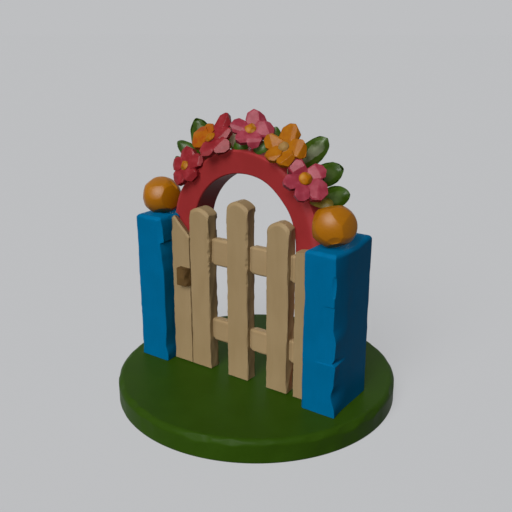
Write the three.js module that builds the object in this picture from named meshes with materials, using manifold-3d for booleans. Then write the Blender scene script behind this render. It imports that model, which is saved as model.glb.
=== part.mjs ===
// A miniature garden arch with a picket gate, in carved and painted wood: a round base, two posts
// with ball finials, a half-round arch on two legs, a hinged gate with a sliding latch, and a
// garland of flowers and leaves on the arch.
// Millimetres, +Z up, the gate's front towards -Y, origin under the middle of the base.

import * as THREE from "three";
import { mergeVertices } from "three/addons/utils/BufferGeometryUtils.js";
import Module from "manifold-3d";

const wasm = await Module();
wasm.setup();

// Driving dimensions. The spring line, where the arch's half circle starts, sets the heights of the
// posts, of the pickets and of the upper rail.

// Clearances
const glueGap = 0.3; // around dowels and pegs, and between pieces that are glued
const runGap = 0.3; // around what slides or turns

// Base
const baseRadius = 75;
const baseThickness = 12;
const rimRound = 3;
const footRound = 1.2;

// Posts
const gatewayWidth = 88; // between the posts' inner faces
const postWidth = 17;
const postDepth = 33.6;
const postRise = 5.6; // of the posts' tops above the spring line
const postFront = -24.4; // y of the front faces
const postChamfer = 1.6;
const postDowelRadius = 2.5;
const postDowelLength = 17;
const postDowelSpacing = 18;

// Ball finials
const ballRadius = 10.4;
const ballFlat = 0.8; // depth of the seat cut into the ball
const leftBallOut = 2; // from the post's middle, away from the gate
const leftBallForward = 3.6;
const rightBallOut = 0.5;
const rightBallForward = 4.9;
const ballPegRadius = 1.6;
const ballPegLength = 14;

// Arch
const archWidth = 10.5; // of the ring and of each leg, seen from the front
const archDepth = 17;
const archFront = -11; // y of the front face
const archSpring = 75.6; // the spring line's height above the base's top
const archChamfer = 1.2;
const legDowelRadius = 2;
const legDowelLength = 16;

// Gate
const gateStopGap = 0.6; // between the pickets' backs and the arch, which stops the gate
const footGap = 0.75; // under the pickets
const picketThickness = 6.85;
const picketChamfer = 1;
const latchSideGap = 1.1;
const hingeSideGap = 1.5;
const hingeStileGap = 3.6; // between the right picket and the hinge stile

// Rails, housed and glued into the backs of the pickets
const railInset = 1.95; // from the pickets' fronts to the rails' fronts
const railChamfer = 1;
const railStop = 1.5; // wood left outside the rails' ends in both stiles
const upperRailDrop = 15.8; // from the spring line down to the rail's underside
const upperRailHeight = 14.5;
const lowerRailBottom = 17.3; // above the base's top
const lowerRailHeight = 12.5;

// Hinges
const hingeHeight = 12;
const hingeLeafThickness = 0.6;
const hingeLeafReach = 7.3; // from the pin's axis to the leaf's back edge
const knuckleRadius = 1.2;
const knuckleGap = 0.2;
const pinRadius = 0.5;
const pinHeadRadius = 1;
const pinHeadHeight = 0.6;
const postLeafSink = 0.2; // the post's leaf lies this much below the post's face
const screwRadius = 0.55;
const screwLength = 5;
const screwHeadRadius = 1.1;
const screwHeadHeight = 0.4;

// Latch
const latchDrop = 7.85; // from the upper rail's underside down to the bolt's axis
const boltRadius = 1.6;
const boltLength = 10.9;
const boltTravel = 4.5;
const stemWidth = 2.2;
const blockWidth = 6.4;
const blockHeight = 10.9;
const blockDepth = 3.45;
const blockChamfer = 0.7;
const blockOverhang = 2.4; // the thumb block's left edge beyond the stem's

// Garland
const petalThickness = 2.4;
const petalLift = 1.9; // of a petal's tip above its root
const petalCleft = 0.55; // a cleft's distance from the middle, of the flower's radius
const buttonRadius = 3.2;
const buttonHeight = 2.2;
const flowerPinRadius = 1.4;
const flowerPinSeat = 5; // depth in the arch
const leafThickness = 2.2;
const leafStalkRadius = 0.8;

// Each picket: its width, and the height of its left shoulder, crown and right shoulder above the
// spring line. crownAt is the crown's distance from the picket's left edge.
const picketPlans = [
  { name: "latch_stile", width: 12.5, left: 5.6, crown: 8, crownAt: 3.5, right: -1.1 },
  { name: "left_picket", width: 13, left: 10.4, crown: 14, crownAt: 6, right: 10 },
  { name: "centre_picket", width: 13.1, left: 16, crown: 19.9, crownAt: 6, right: 15.8 },
  { name: "right_picket", width: 12.75, left: 9.6, crown: 14.2, crownAt: 7, right: 10.4 },
  { name: "hinge_stile", width: 7.4, left: 1, crown: 4.6, crownAt: 5, right: 3.6 },
];

// Each flower: the angle from the arch's top that it sits at, its middle's distance from the
// arch's outer curve, its y, the way it faces (turned to the right, then tipped up), the turn of
// its petals and its radius. Angles are in degrees.
const flowerPlans = [
  { name: "red_flower_left", at: -46.7, out: 5.9, y: -13, turn: -16.5, tip: 23, spin: 36, radius: 11 },
  { name: "red_flower_top", at: -20.5, out: 9.5, y: -13, turn: -20, tip: 45, spin: 40, radius: 11.5 },
  { name: "pink_flower_top", at: 3, out: 11.8, y: -9, turn: 25, tip: 43, spin: 5, radius: 10.5 },
  { name: "orange_flower", at: 25.7, out: 10.4, y: -11, turn: 12, tip: 42, spin: 5, radius: 10.7 },
  { name: "pink_flower_right", at: 46, out: 7.4, y: -13, turn: 42, tip: 36, spin: 35, radius: 10.5 },
];

// Each leaf: where its stalk leaves the arch, where its tip is, and its width. A place is an angle
// from the arch's top, a distance from the arch's outer curve and a y. facing is the angle that
// the blade is tipped by, from facing the front to facing away from the arch. A leaf beside a ball
// has its angles measured up from the ball's edge instead.
const leafPlans = [
  { name: "leaf_left_upright", at: -36, y: -4.5, tipAt: -27, tipOut: 21.5, tipY: -8, width: 10.5, facing: 15 },
  { name: "leaf_left_outer", at: -43, y: -3, tipAt: -46, tipOut: 21, tipY: -6, width: 9.5, facing: 25 },
  { name: "leaf_left_low", beside: "left", at: 5.8, y: -3, tipAt: 7.8, tipOut: 17, tipY: -6, width: 9, facing: 20 },
  { name: "leaf_left_front", at: -31.5, y: -9, tipAt: -31, tipOut: 6.5, tipY: -13.5, width: 6, facing: 50 },
  { name: "leaf_gap_pale", at: -12, y: -3, tipAt: -9.5, tipOut: 10.5, tipY: -5.5, width: 7.5, facing: 30 },
  { name: "leaf_top_left", at: -2, y: -8.5, tipAt: -13, tipOut: 3, tipY: -10, width: 6, facing: 75 },
  { name: "leaf_top_right", at: 5, y: -8.5, tipAt: 17, tipOut: 4.5, tipY: -8, width: 7, facing: 75 },
  { name: "leaf_top_point", at: 14, y: -1, tipAt: 11, tipOut: 14.5, tipY: -2, width: 8, facing: 20 },
  { name: "leaf_right_upright", at: 33, y: 0, tipAt: 36.6, tipOut: 23.3, tipY: 0, width: 12, facing: 15 },
  { name: "leaf_right_outer", at: 45, y: 2, tipAt: 52.5, tipOut: 18, tipY: 1, width: 10.5, facing: 20 },
  { name: "leaf_right_low", beside: "right", at: 5.1, y: 0, tipAt: 0.9, tipOut: 17.5, tipY: -2, width: 10, facing: 20 },
  { name: "leaf_right_front", at: 35.5, y: -9, tipAt: 33.5, tipOut: 5.2, tipY: -13.5, width: 5.5, facing: 50 },
  { name: "leaf_right_shaded", beside: "right", at: 7.1, y: -7.5, tipAt: 0.1, tipOut: 8, tipY: -11, width: 7, facing: 40 },
  { name: "leaf_back_left", at: -48, y: 3.4, tipAt: -44, tipOut: 17, tipY: 9, width: 9.5, facing: 160 },
  { name: "leaf_back_middle_left", at: -20, y: 3.4, tipAt: -18, tipOut: 15, tipY: 9, width: 9.5, facing: 160 },
  { name: "leaf_back_middle_right", at: 22, y: 3.4, tipAt: 24, tipOut: 14, tipY: 9, width: 9, facing: 160 },
];

// Places worked out from the dimensions above

const postInner = gatewayWidth / 2;
const postMiddle = postInner + postWidth / 2;
const archOuter = postInner - glueGap;
const archInner = archOuter - archWidth;
const archCentre = baseThickness + archSpring;
const postTop = archCentre + postRise;
const gateBack = archFront - gateStopGap;
const gateFront = gateBack - picketThickness;
const gateLeft = -postInner + latchSideGap;
const gateRight = postInner - hingeSideGap;
const gateFoot = baseThickness + footGap;
const railFront = gateFront + railInset;
const hingeX = postInner - hingeSideGap / 2;
const hingeY = gateFront - knuckleRadius - knuckleGap / 2;

const paint = {
  green: { color: 0x2f4a14, roughness: 0.5 },
  blue: { color: 0x075d88, roughness: 0.45 },
  orange: { color: 0xa46a04, roughness: 0.3 },
  red: { color: 0x8f2c2e, roughness: 0.45 },
  pink: { color: 0xa8566a, roughness: 0.4 },
  yellow: { color: 0xb07a10, roughness: 0.4 },
  leaf: { color: 0x3c5a1c, roughness: 0.45 },
  bareWood: { color: 0x94805c, roughness: 0.6 },
  darkWood: { color: 0x594428, roughness: 0.7 },
  brass: { color: 0x8a7038, roughness: 0.4, metalness: 0.9 },
};

const model = new THREE.Group();

function addPiece(name, geometry, finish) {
  const material = new THREE.MeshStandardMaterial({ metalness: 0, ...finish });
  const mesh = new THREE.Mesh(geometry, material);
  mesh.name = name;
  model.add(mesh);
}

// A closed geometry as a solid, its shared corners merged.
function solidOf(geometry) {
  const bare = geometry.clone();
  bare.deleteAttribute("normal");
  bare.deleteAttribute("uv");
  const merged = mergeVertices(bare, 1e-4);
  const vertProperties = merged.attributes.position.array;
  const triVerts = new Uint32Array(merged.index.array);
  return new wasm.Manifold(new wasm.Mesh({ numProp: 3, vertProperties, triVerts }));
}

// A closed geometry as a solid whose faces point out, whichever way its rings run.
function facesOut(geometry) {
  const solid = solidOf(geometry);
  if (solid.volume() > 0) return solid;
  const flipped = geometry.clone();
  flipped.setIndex([...geometry.index.array].reverse());
  return solidOf(flipped);
}

function geometryOf(solid) {
  const mesh = solid.getMesh();
  const geometry = new THREE.BufferGeometry();
  geometry.setAttribute("position", new THREE.BufferAttribute(mesh.vertProperties, 3));
  geometry.setIndex(new THREE.BufferAttribute(mesh.triVerts, 1));
  return geometry;
}

// The geometry with each of the tools cut out of it.
function cut(geometry, tools) {
  return geometryOf(tools.reduce((solid, tool) => solid.subtract(solidOf(tool)), solidOf(geometry)));
}

// All the geometries as one.
function join(geometries) {
  return geometryOf(geometries.map(solidOf).reduce((solid, next) => solid.add(next)));
}

const point = (x, y, z) => new THREE.Vector3(x, y, z);

// A round bar from one point to another.
function bar(from, to, radius, sides = 12) {
  const along = to.clone().sub(from);
  const geometry = new THREE.CylinderGeometry(radius, radius, along.length(), sides);
  const turn = new THREE.Quaternion().setFromUnitVectors(point(0, 1, 0), along.normalize());
  const middle = from.clone().add(to).multiplyScalar(0.5);
  return geometry.applyQuaternion(turn).translate(middle.x, middle.y, middle.z);
}

// A box from its lowest corner to its highest.
function block(low, high) {
  const size = high.clone().sub(low);
  const middle = low.clone().add(high).multiplyScalar(0.5);
  return new THREE.BoxGeometry(size.x, size.y, size.z).translate(middle.x, middle.y, middle.z);
}

// A box with all its edges cut back by the chamfer.
function chamferedBlock(low, high, chamfer) {
  const size = high.clone().sub(low);
  const outline = new THREE.Shape([
    new THREE.Vector2(chamfer, 0),
    new THREE.Vector2(size.x - chamfer, 0),
    new THREE.Vector2(size.x, chamfer),
    new THREE.Vector2(size.x, size.y - chamfer),
    new THREE.Vector2(size.x - chamfer, size.y),
    new THREE.Vector2(chamfer, size.y),
    new THREE.Vector2(0, size.y - chamfer),
    new THREE.Vector2(0, chamfer),
  ]);
  return thickOutline(outline, size.z, chamfer).translate(low.x, low.y, low.z);
}

// An outline given thickness along +Z, with its two rims cut back by the chamfer.
function thickOutline(outline, thickness, chamfer) {
  return new THREE.ExtrudeGeometry(outline, {
    depth: thickness - 2 * chamfer,
    bevelThickness: chamfer,
    bevelSize: chamfer,
    bevelOffset: -chamfer,
    bevelSegments: 1,
    curveSegments: 16,
  }).translate(0, 0, chamfer);
}

// An outline drawn in x and z, given thickness from its front y backwards.
function standingOutline(outline, front, thickness, chamfer) {
  return thickOutline(outline, thickness, chamfer)
    .rotateX(Math.PI / 2)
    .translate(0, front + thickness, 0);
}

// A closed solid from rings of points. Each end closes on its own middle point.
function ringsToGeometry(rings, firstPoint, lastPoint) {
  const count = rings[0].length;
  const positions = [firstPoint, ...rings.flat(), lastPoint].flatMap((p) => [p.x, p.y, p.z]);
  const last = rings.length * count + 1;
  const triangles = [];
  for (let i = 0; i < count; i++) {
    const next = (i + 1) % count;
    triangles.push(0, 1 + next, 1 + i);
    for (let ring = 0; ring < rings.length - 1; ring++) {
      const here = 1 + ring * count;
      const there = here + count;
      triangles.push(here + i, here + next, there + next);
      triangles.push(here + i, there + next, there + i);
    }
    triangles.push(last, last - count + i, last - count + next);
  }
  const geometry = new THREE.BufferGeometry();
  geometry.setAttribute("position", new THREE.Float32BufferAttribute(positions, 3));
  geometry.setIndex(triangles);
  return geometry;
}

// A place on or near the arch: an angle from its top, a distance from its outer curve, and a y.
function onArch(at, out, y) {
  const angle = THREE.MathUtils.degToRad(at);
  const radius = archOuter + out;
  return point(Math.sin(angle) * radius, y, archCentre + Math.cos(angle) * radius);
}

// Holes that other pieces need in the base, the posts, the arch and the gate. Each piece below adds
// its own, and the wooden pieces are cut at the end.
const holes = { base: [], leftPost: [], rightPost: [], leftBall: [], rightBall: [], arch: [] };
const gateHoles = { latch_stile: [], hinge_stile: [], upper_rail: [], lower_rail: [] };

// The slightly larger and longer hole around a dowel, a peg or a screw's shank.
function pegHole(from, to, radius) {
  const along = to.clone().sub(from).normalize().multiplyScalar(glueGap);
  return bar(from.clone().sub(along), to.clone().add(along), radius + glueGap);
}

// Dowels between the base and the posts' and arch's feet
const postMiddleY = postFront + postDepth / 2;
for (const [name, side] of [
  ["left", -1],
  ["right", 1],
]) {
  for (const [place, step] of [
    ["front", -1],
    ["back", 1],
  ]) {
    const x = side * postMiddle;
    const y = postMiddleY + (step * postDowelSpacing) / 2;
    const low = point(x, y, baseThickness - postDowelLength / 2);
    const high = point(x, y, baseThickness + postDowelLength / 2);
    addPiece(`${name}_post_${place}_dowel`, bar(low, high, postDowelRadius), paint.bareWood);
    holes.base.push(pegHole(low, high, postDowelRadius));
    holes[name + "Post"].push(pegHole(low, high, postDowelRadius));
  }
  const x = side * (archOuter - archWidth / 2);
  const y = archFront + archDepth / 2;
  const low = point(x, y, baseThickness - legDowelLength / 2);
  const high = point(x, y, baseThickness + legDowelLength / 2);
  addPiece(name + "_leg_dowel", bar(low, high, legDowelRadius), paint.bareWood);
  holes.base.push(pegHole(low, high, legDowelRadius));
  holes.arch.push(pegHole(low, high, legDowelRadius));
}

// Ball finials, each on its peg
const balls = {};
const ballEdges = {}; // the angle from the arch's top at which a line from its centre touches the ball
for (const [name, side, out, forward] of [
  ["left", -1, leftBallOut, leftBallForward],
  ["right", 1, rightBallOut, rightBallForward],
]) {
  const x = side * (postMiddle + out);
  const y = postMiddleY - forward;
  const centre = point(x, y, postTop + ballRadius - ballFlat);
  const low = point(x, y, postTop - ballPegLength / 2);
  const high = point(x, y, postTop + ballPegLength / 2);
  addPiece(name + "_ball_peg", bar(low, high, ballPegRadius), paint.bareWood);
  holes[name + "Post"].push(pegHole(low, high, ballPegRadius));
  holes[name + "Ball"].push(pegHole(low, high, ballPegRadius));
  const seat = Math.acos(1 - ballFlat / ballRadius);
  const profile = [new THREE.Vector2(0, -ballRadius + ballFlat)];
  const steps = 10;
  for (let i = 0; i < steps; i++) {
    const angle = seat + ((Math.PI - seat) * i) / steps;
    profile.push(new THREE.Vector2(Math.sin(angle) * ballRadius, -Math.cos(angle) * ballRadius));
  }
  profile.push(new THREE.Vector2(0, ballRadius));
  const sphere = new THREE.LatheGeometry(profile, 18).rotateX(Math.PI / 2);
  balls[name] = sphere.translate(centre.x, centre.y, centre.z);
  const toBall = Math.hypot(centre.x, centre.z - archCentre);
  const ballMiddle = Math.atan2(Math.abs(centre.x), centre.z - archCentre);
  const ballEdge = ballMiddle - Math.asin(ballRadius / toBall);
  ballEdges[name] = { side, at: THREE.MathUtils.radToDeg(ballEdge) };
}

// Pickets, set out from the latch side. The two wide gaps share what the widths leave.
const widths = picketPlans.reduce((sum, plan) => sum + plan.width, 0);
const wideGap = (gateRight - gateLeft - widths - glueGap - hingeStileGap) / 2;
const gapAfter = [glueGap, wideGap, wideGap, hingeStileGap, 0];
let nextLeft = gateLeft;
const pickets = picketPlans.map((plan, i) => {
  const left = nextLeft;
  nextLeft = left + plan.width + gapAfter[i];
  return { ...plan, x: left, end: left + plan.width };
});

// A picket's top rises in a quarter wave from each shoulder to its crown.
function picketTop(picket, share) {
  const peak = picket.crownAt / picket.width;
  const [shoulder, climbed] =
    share < peak ? [picket.left, share / peak] : [picket.right, (1 - share) / (1 - peak)];
  return shoulder + (picket.crown - shoulder) * Math.sin((Math.PI / 2) * climbed);
}

function picketGeometry(picket) {
  const steps = 8;
  const outline = new THREE.Shape();
  outline.moveTo(picket.x, gateFoot);
  outline.lineTo(picket.end, gateFoot);
  for (let i = steps; i >= 0; i--) {
    const x = picket.x + (picket.width * i) / steps;
    outline.lineTo(x, archCentre + picketTop(picket, i / steps));
  }
  return standingOutline(outline, gateFront, picketThickness, picketChamfer);
}

// Rails, and the housings that the pickets have for them
const rails = [
  { name: "upper_rail", bottom: archCentre - upperRailDrop, height: upperRailHeight },
  { name: "lower_rail", bottom: baseThickness + lowerRailBottom, height: lowerRailHeight },
];
const housingLeft = gateLeft + railStop;
const housingRight = gateRight - railStop;
const housings = [];
for (const rail of rails) {
  rail.top = rail.bottom + rail.height;
  rail.middle = rail.bottom + rail.height / 2;
  housings.push(
    block(
      point(housingLeft, railFront, rail.bottom - glueGap),
      point(housingRight, gateBack + 1, rail.top + glueGap),
    ),
  );
}

// Butt hinges between the hinge stile and the right post: two leaves, each let in flush and held by
// a screw, and a pin in three knuckles
const postLeafFace = postInner + postLeafSink;
const knuckleHeight = (hingeHeight - 2 * knuckleGap) / 3;
const leafBack = hingeY + hingeLeafReach;
const leafClear = hingeY + knuckleRadius + knuckleGap; // a leaf's front edge beside the other's knuckles

// A screw: its head on a hinge leaf's face, and its shank.
function screw(head, face, tip) {
  return join([bar(head, face, screwHeadRadius), bar(face, tip, screwRadius)]);
}

// One leaf: its plate, and a tongue and a knuckle at each of the given heights, bored for the pin.
function hingeLeaf(face, back, bottom, knuckles, screwHole) {
  const low = Math.min(face, back);
  const high = Math.max(face, back);
  const top = bottom + hingeHeight;
  const parts = [block(point(low, leafClear, bottom), point(high, leafBack, top))];
  for (const start of knuckles) {
    const end = start + knuckleHeight;
    parts.push(block(point(low, hingeY, start), point(high, leafBack, end)));
    parts.push(bar(point(hingeX, hingeY, start), point(hingeX, hingeY, end), knuckleRadius));
  }
  const bore = bar(
    point(hingeX, hingeY, bottom - 1),
    point(hingeX, hingeY, top + 1),
    pinRadius + runGap,
  );
  return cut(join(parts), [bore, screwHole]);
}

for (const rail of rails) {
  const name = rail.name.replace("rail", "hinge");
  const bottom = rail.middle - hingeHeight / 2;
  const top = bottom + hingeHeight;
  const screwY = (leafBack + leafClear) / 2;
  const postHead = point(postLeafFace - screwHeadHeight, screwY, rail.middle);
  const postFace = point(postLeafFace, screwY, rail.middle);
  const postTip = point(postLeafFace + screwLength, screwY, rail.middle);
  const postHole = pegHole(postHead, postTip, screwRadius);
  const gateHead = point(gateRight + screwHeadHeight, screwY, rail.middle);
  const gateFace = point(gateRight, screwY, rail.middle);
  const gateTip = point(gateRight - screwLength, screwY, rail.middle);
  const gateHole = pegHole(gateHead, gateTip, screwRadius);
  const postLeafBack = postLeafFace + hingeLeafThickness;
  const gateLeafBack = gateRight - hingeLeafThickness;
  const outerKnuckles = [bottom, top - knuckleHeight];
  const middleKnuckle = [rail.middle - knuckleHeight / 2];
  const postLeaf = hingeLeaf(postLeafFace, postLeafBack, bottom, outerKnuckles, postHole);
  const gateLeaf = hingeLeaf(gateRight, gateLeafBack, bottom, middleKnuckle, gateHole);
  const pinFoot = point(hingeX, hingeY, bottom);
  const pinTop = point(hingeX, hingeY, top);
  const pinHead = point(hingeX, hingeY, top + pinHeadHeight);
  const pin = join([bar(pinFoot, pinTop, pinRadius), bar(pinTop, pinHead, pinHeadRadius)]);
  addPiece(name + "_post_leaf", postLeaf, paint.brass);
  addPiece(name + "_gate_leaf", gateLeaf, paint.brass);
  addPiece(name + "_pin", pin, paint.brass);
  addPiece(name + "_post_screw", screw(postHead, postFace, postTip), paint.brass);
  addPiece(name + "_gate_screw", screw(gateHead, gateFace, gateTip), paint.brass);

  // Recesses for the leaves, and room in the post for the knuckles and the pin's head
  holes.rightPost.push(
    block(
      point(postInner - 1, hingeY - knuckleRadius - runGap, bottom - glueGap),
      point(postLeafBack, leafBack + glueGap, top + pinHeadHeight + runGap),
    ),
    postHole,
  );
  gateHoles.hinge_stile.push(
    block(
      point(gateLeafBack, gateFront - 1, bottom - glueGap),
      point(gateRight + 1, leafBack + glueGap, top + glueGap),
    ),
    gateHole,
  );
  gateHoles[rail.name].push(gateHole);
}

// Latch: a round bolt that slides in a bore in the latch stile. A stem through a slot in the
// stile's front joins it to the thumb block, which hides the slot.
const latchZ = rails[0].bottom - latchDrop;
const boltY = (gateFront + gateBack) / 2;
const boltLeft = gateLeft + runGap;
const boltRight = boltLeft + boltLength;
const blockBack = gateFront - runGap;
const blockFront = blockBack - blockDepth;
const stemLeft = boltRight - stemWidth;
const stemFront = blockBack - blockDepth / 2;
const blockLeft = stemLeft - blockOverhang;
const bolt = join([
  bar(point(boltLeft, boltY, latchZ), point(boltRight, boltY, latchZ), boltRadius),
  block(
    point(stemLeft, stemFront, latchZ - stemWidth / 2),
    point(boltRight, boltY, latchZ + stemWidth / 2),
  ),
]);
addPiece("latch_bolt", bolt, paint.darkWood);

const blockLow = point(blockLeft, blockFront, latchZ - blockHeight / 2);
const blockHigh = point(blockLeft + blockWidth, blockBack, latchZ + blockHeight / 2);
const stemSocket = block(
  point(stemLeft - glueGap, stemFront - glueGap, latchZ - stemWidth / 2 - glueGap),
  point(boltRight + glueGap, blockBack + 1, latchZ + stemWidth / 2 + glueGap),
);
const thumbBlock = cut(chamferedBlock(blockLow, blockHigh, blockChamfer), [stemSocket]);
addPiece("latch_block", thumbBlock, paint.darkWood);

gateHoles.latch_stile.push(
  bar(point(gateLeft - 1, boltY, latchZ), point(boltRight + runGap, boltY, latchZ), boltRadius + runGap),
  block(
    point(stemLeft - boltTravel - runGap, gateFront - 1, latchZ - stemWidth / 2 - runGap),
    point(boltRight + runGap, boltY, latchZ + stemWidth / 2 + runGap),
  ),
);
holes.leftPost.push(
  bar(
    point(boltLeft - boltTravel - runGap, boltY, latchZ),
    point(-postInner + 1, boltY, latchZ),
    boltRadius + runGap,
  ),
);

// Flowers: five petals in one lobed, cupped head, bored through its middle. A pin with a round
// yellow button for a head goes through it and back into a hole in the arch.

// The radius of a flower's rim at an angle from a petal's tip, as a share of its whole radius.
function petalReach(angle) {
  const fromTip = Math.abs(Math.cos(2.5 * angle));
  return petalCleft + (1 - petalCleft) * fromTip ** 0.6;
}

function flowerHead(radius) {
  const stepsPerPetal = 8;
  const count = 5 * stepsPerPetal;
  const seat = (buttonRadius + glueGap) / radius;
  const ring = (share, drop) =>
    Array.from({ length: count }, (_, i) => {
      const angle = (2 * Math.PI * i) / count;
      const reach = radius * (seat + (petalReach(angle) - seat) * share);
      const lift = petalLift * (reach / radius) ** 2 * share;
      return point(Math.cos(angle) * reach, Math.sin(angle) * reach, lift - drop);
    });
  const rings = [
    ring(0.3, petalThickness + 0.2),
    ring(0.9, petalThickness),
    ring(1, petalThickness / 2),
    ring(0.9, 0),
    ring(0.45, -0.5),
    ring(0, 0),
  ];
  const head = ringsToGeometry(rings, point(0, 0, -petalThickness - 0.4), point(0, 0, 0));
  const bore = bar(point(0, 0, -radius), point(0, 0, radius), flowerPinRadius + glueGap);
  return geometryOf(facesOut(head).subtract(solidOf(bore)));
}

function flowerPin(length) {
  const profile = [
    [0, 0],
    [buttonRadius, 0],
    [buttonRadius, buttonHeight * 0.4],
    [buttonRadius * 0.7, buttonHeight * 0.85],
    [0, buttonHeight],
  ].map(([x, y]) => new THREE.Vector2(x, y));
  const button = new THREE.LatheGeometry(profile, 14).rotateX(Math.PI / 2).translate(0, 0, glueGap);
  return join([button, bar(point(0, 0, -length), point(0, 0, buttonHeight / 2), flowerPinRadius)]);
}

// How far back along its own axis a flower meets the arch's outer curve.
function distanceToArch(middle, facing) {
  const z = middle.z - archCentre;
  const a = facing.x ** 2 + facing.z ** 2;
  const b = middle.x * facing.x + z * facing.z;
  const c = middle.x ** 2 + z ** 2 - archOuter ** 2;
  return (b - Math.sqrt(b * b - a * c)) / a;
}

for (const plan of flowerPlans) {
  const turn = THREE.MathUtils.degToRad(plan.turn);
  const tip = THREE.MathUtils.degToRad(plan.tip);
  const facing = point(Math.sin(turn) * Math.cos(tip), -Math.cos(turn) * Math.cos(tip), Math.sin(tip));
  const across = point(0, 0, 1).cross(facing).normalize();
  const up = facing.clone().cross(across);
  const middle = onArch(plan.at, plan.out, plan.y);
  const frame = new THREE.Matrix4().makeBasis(across, up, facing).setPosition(middle);
  const spin = THREE.MathUtils.degToRad(plan.spin);
  const head = flowerHead(plan.radius).rotateZ(spin).applyMatrix4(frame);
  addPiece(plan.name, head, paint[plan.name.split("_")[0]]);

  const meets = distanceToArch(middle, facing);
  const pin = flowerPin(meets + flowerPinSeat).applyMatrix4(frame);
  addPiece(plan.name + "_pin", pin, paint.yellow);
  const pinTip = middle.clone().addScaledVector(facing, -(meets + flowerPinSeat));
  const outside = middle.clone().addScaledVector(facing, -(meets - 2 * flowerPinRadius));
  holes.arch.push(pegHole(pinTip, outside, flowerPinRadius));
}

// Leaves: a thick pointed blade with a groove along its middle, on a short stalk glued to the arch.

// The half width of a leaf along its length, as a share of its greatest half width.
function bladeShare(along) {
  const blade = Math.max(0, (along - 0.18) / 0.82);
  return Math.sin(Math.PI * blade ** 0.8) ** 0.8;
}

// A leaf's angle from the arch's top.
function leafAngle(plan, angle) {
  if (!plan.beside) return angle;
  const edge = ballEdges[plan.beside];
  return edge.side * (edge.at - angle);
}

function leafGeometry(plan) {
  const at = leafAngle(plan, plan.at);
  const root = onArch(at, glueGap, plan.y);
  const tip = onArch(leafAngle(plan, plan.tipAt), plan.tipOut, plan.tipY);
  const outward = onArch(at, 1, plan.y).sub(onArch(at, 0, plan.y));
  const length = root.distanceTo(tip);
  const spine = new THREE.QuadraticBezierCurve3(
    root,
    root.clone().addScaledVector(outward, length * 0.35),
    tip,
  );
  const facing = THREE.MathUtils.degToRad(plan.facing);
  const face = point(0, -Math.cos(facing), 0).addScaledVector(outward, Math.sin(facing));
  const rings = [0, 0.12, 0.28, 0.42, 0.56, 0.7, 0.83, 0.94].map((along) => {
    const centre = spine.getPoint(along);
    const ahead = spine.getTangent(along);
    const side = ahead.clone().cross(face).normalize();
    const up = side.clone().cross(ahead).normalize();
    const share = bladeShare(along);
    const halfWidth = Math.max(leafStalkRadius, (plan.width / 2) * share);
    const halfThick = Math.max(leafStalkRadius * 0.8, (leafThickness / 2) * share ** 0.5);
    const groove = along > 0.2 ? 0.55 : 1;
    return [
      [-1, 0],
      [-0.5, 0.85],
      [0, groove],
      [0.5, 0.85],
      [1, 0],
      [0, -0.9],
    ].map(([across, high]) =>
      centre
        .clone()
        .addScaledVector(side, across * halfWidth)
        .addScaledVector(up, high * halfThick),
    );
  });
  const geometry = ringsToGeometry(rings, root, tip);
  return geometryOf(facesOut(geometry));
}

for (const plan of leafPlans) {
  addPiece(plan.name, leafGeometry(plan), paint.leaf);
}

// The base, the posts, the balls, the arch and the gate's wood, cut for what they hold

const baseProfile = new THREE.Path();
baseProfile.moveTo(0, 0);
baseProfile.lineTo(baseRadius - footRound, 0);
baseProfile.lineTo(baseRadius, footRound);
baseProfile.lineTo(baseRadius, baseThickness - rimRound);
baseProfile.absarc(baseRadius - rimRound, baseThickness - rimRound, rimRound, 0, Math.PI / 2, false);
baseProfile.lineTo(0, baseThickness);
const baseDisc = new THREE.LatheGeometry(baseProfile.getPoints(3), 48).rotateX(Math.PI / 2);
addPiece("base_disc", cut(baseDisc, holes.base), paint.green);

for (const [name, side] of [
  ["left", -1],
  ["right", 1],
]) {
  const inner = side * postInner;
  const outer = side * (postInner + postWidth);
  const low = point(Math.min(inner, outer), postFront, baseThickness);
  const high = point(Math.max(inner, outer), postFront + postDepth, postTop);
  addPiece(name + "_post", cut(chamferedBlock(low, high, postChamfer), holes[name + "Post"]), paint.blue);
  addPiece(name + "_ball", cut(balls[name], holes[name + "Ball"]), paint.orange);
}

const archOutline = new THREE.Shape();
archOutline.moveTo(-archOuter, baseThickness);
archOutline.lineTo(-archInner, baseThickness);
archOutline.lineTo(-archInner, archCentre);
archOutline.absarc(0, archCentre, archInner, Math.PI, 0, true);
archOutline.lineTo(archInner, baseThickness);
archOutline.lineTo(archOuter, baseThickness);
archOutline.lineTo(archOuter, archCentre);
archOutline.absarc(0, archCentre, archOuter, 0, Math.PI, false);
archOutline.closePath();
const archBody = standingOutline(archOutline, archFront, archDepth, archChamfer);
addPiece("arch", cut(archBody, holes.arch), paint.red);

for (const picket of pickets) {
  const tools = [...housings, ...(gateHoles[picket.name] ?? [])];
  addPiece(picket.name, cut(picketGeometry(picket), tools), paint.bareWood);
}

for (const rail of rails) {
  const low = point(housingLeft + glueGap, railFront, rail.bottom);
  const high = point(housingRight - glueGap, gateBack, rail.top);
  const wood = chamferedBlock(low, high, railChamfer);
  addPiece(rail.name, cut(wood, gateHoles[rail.name]), paint.bareWood);
}

export default model;
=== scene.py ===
import math

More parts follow.
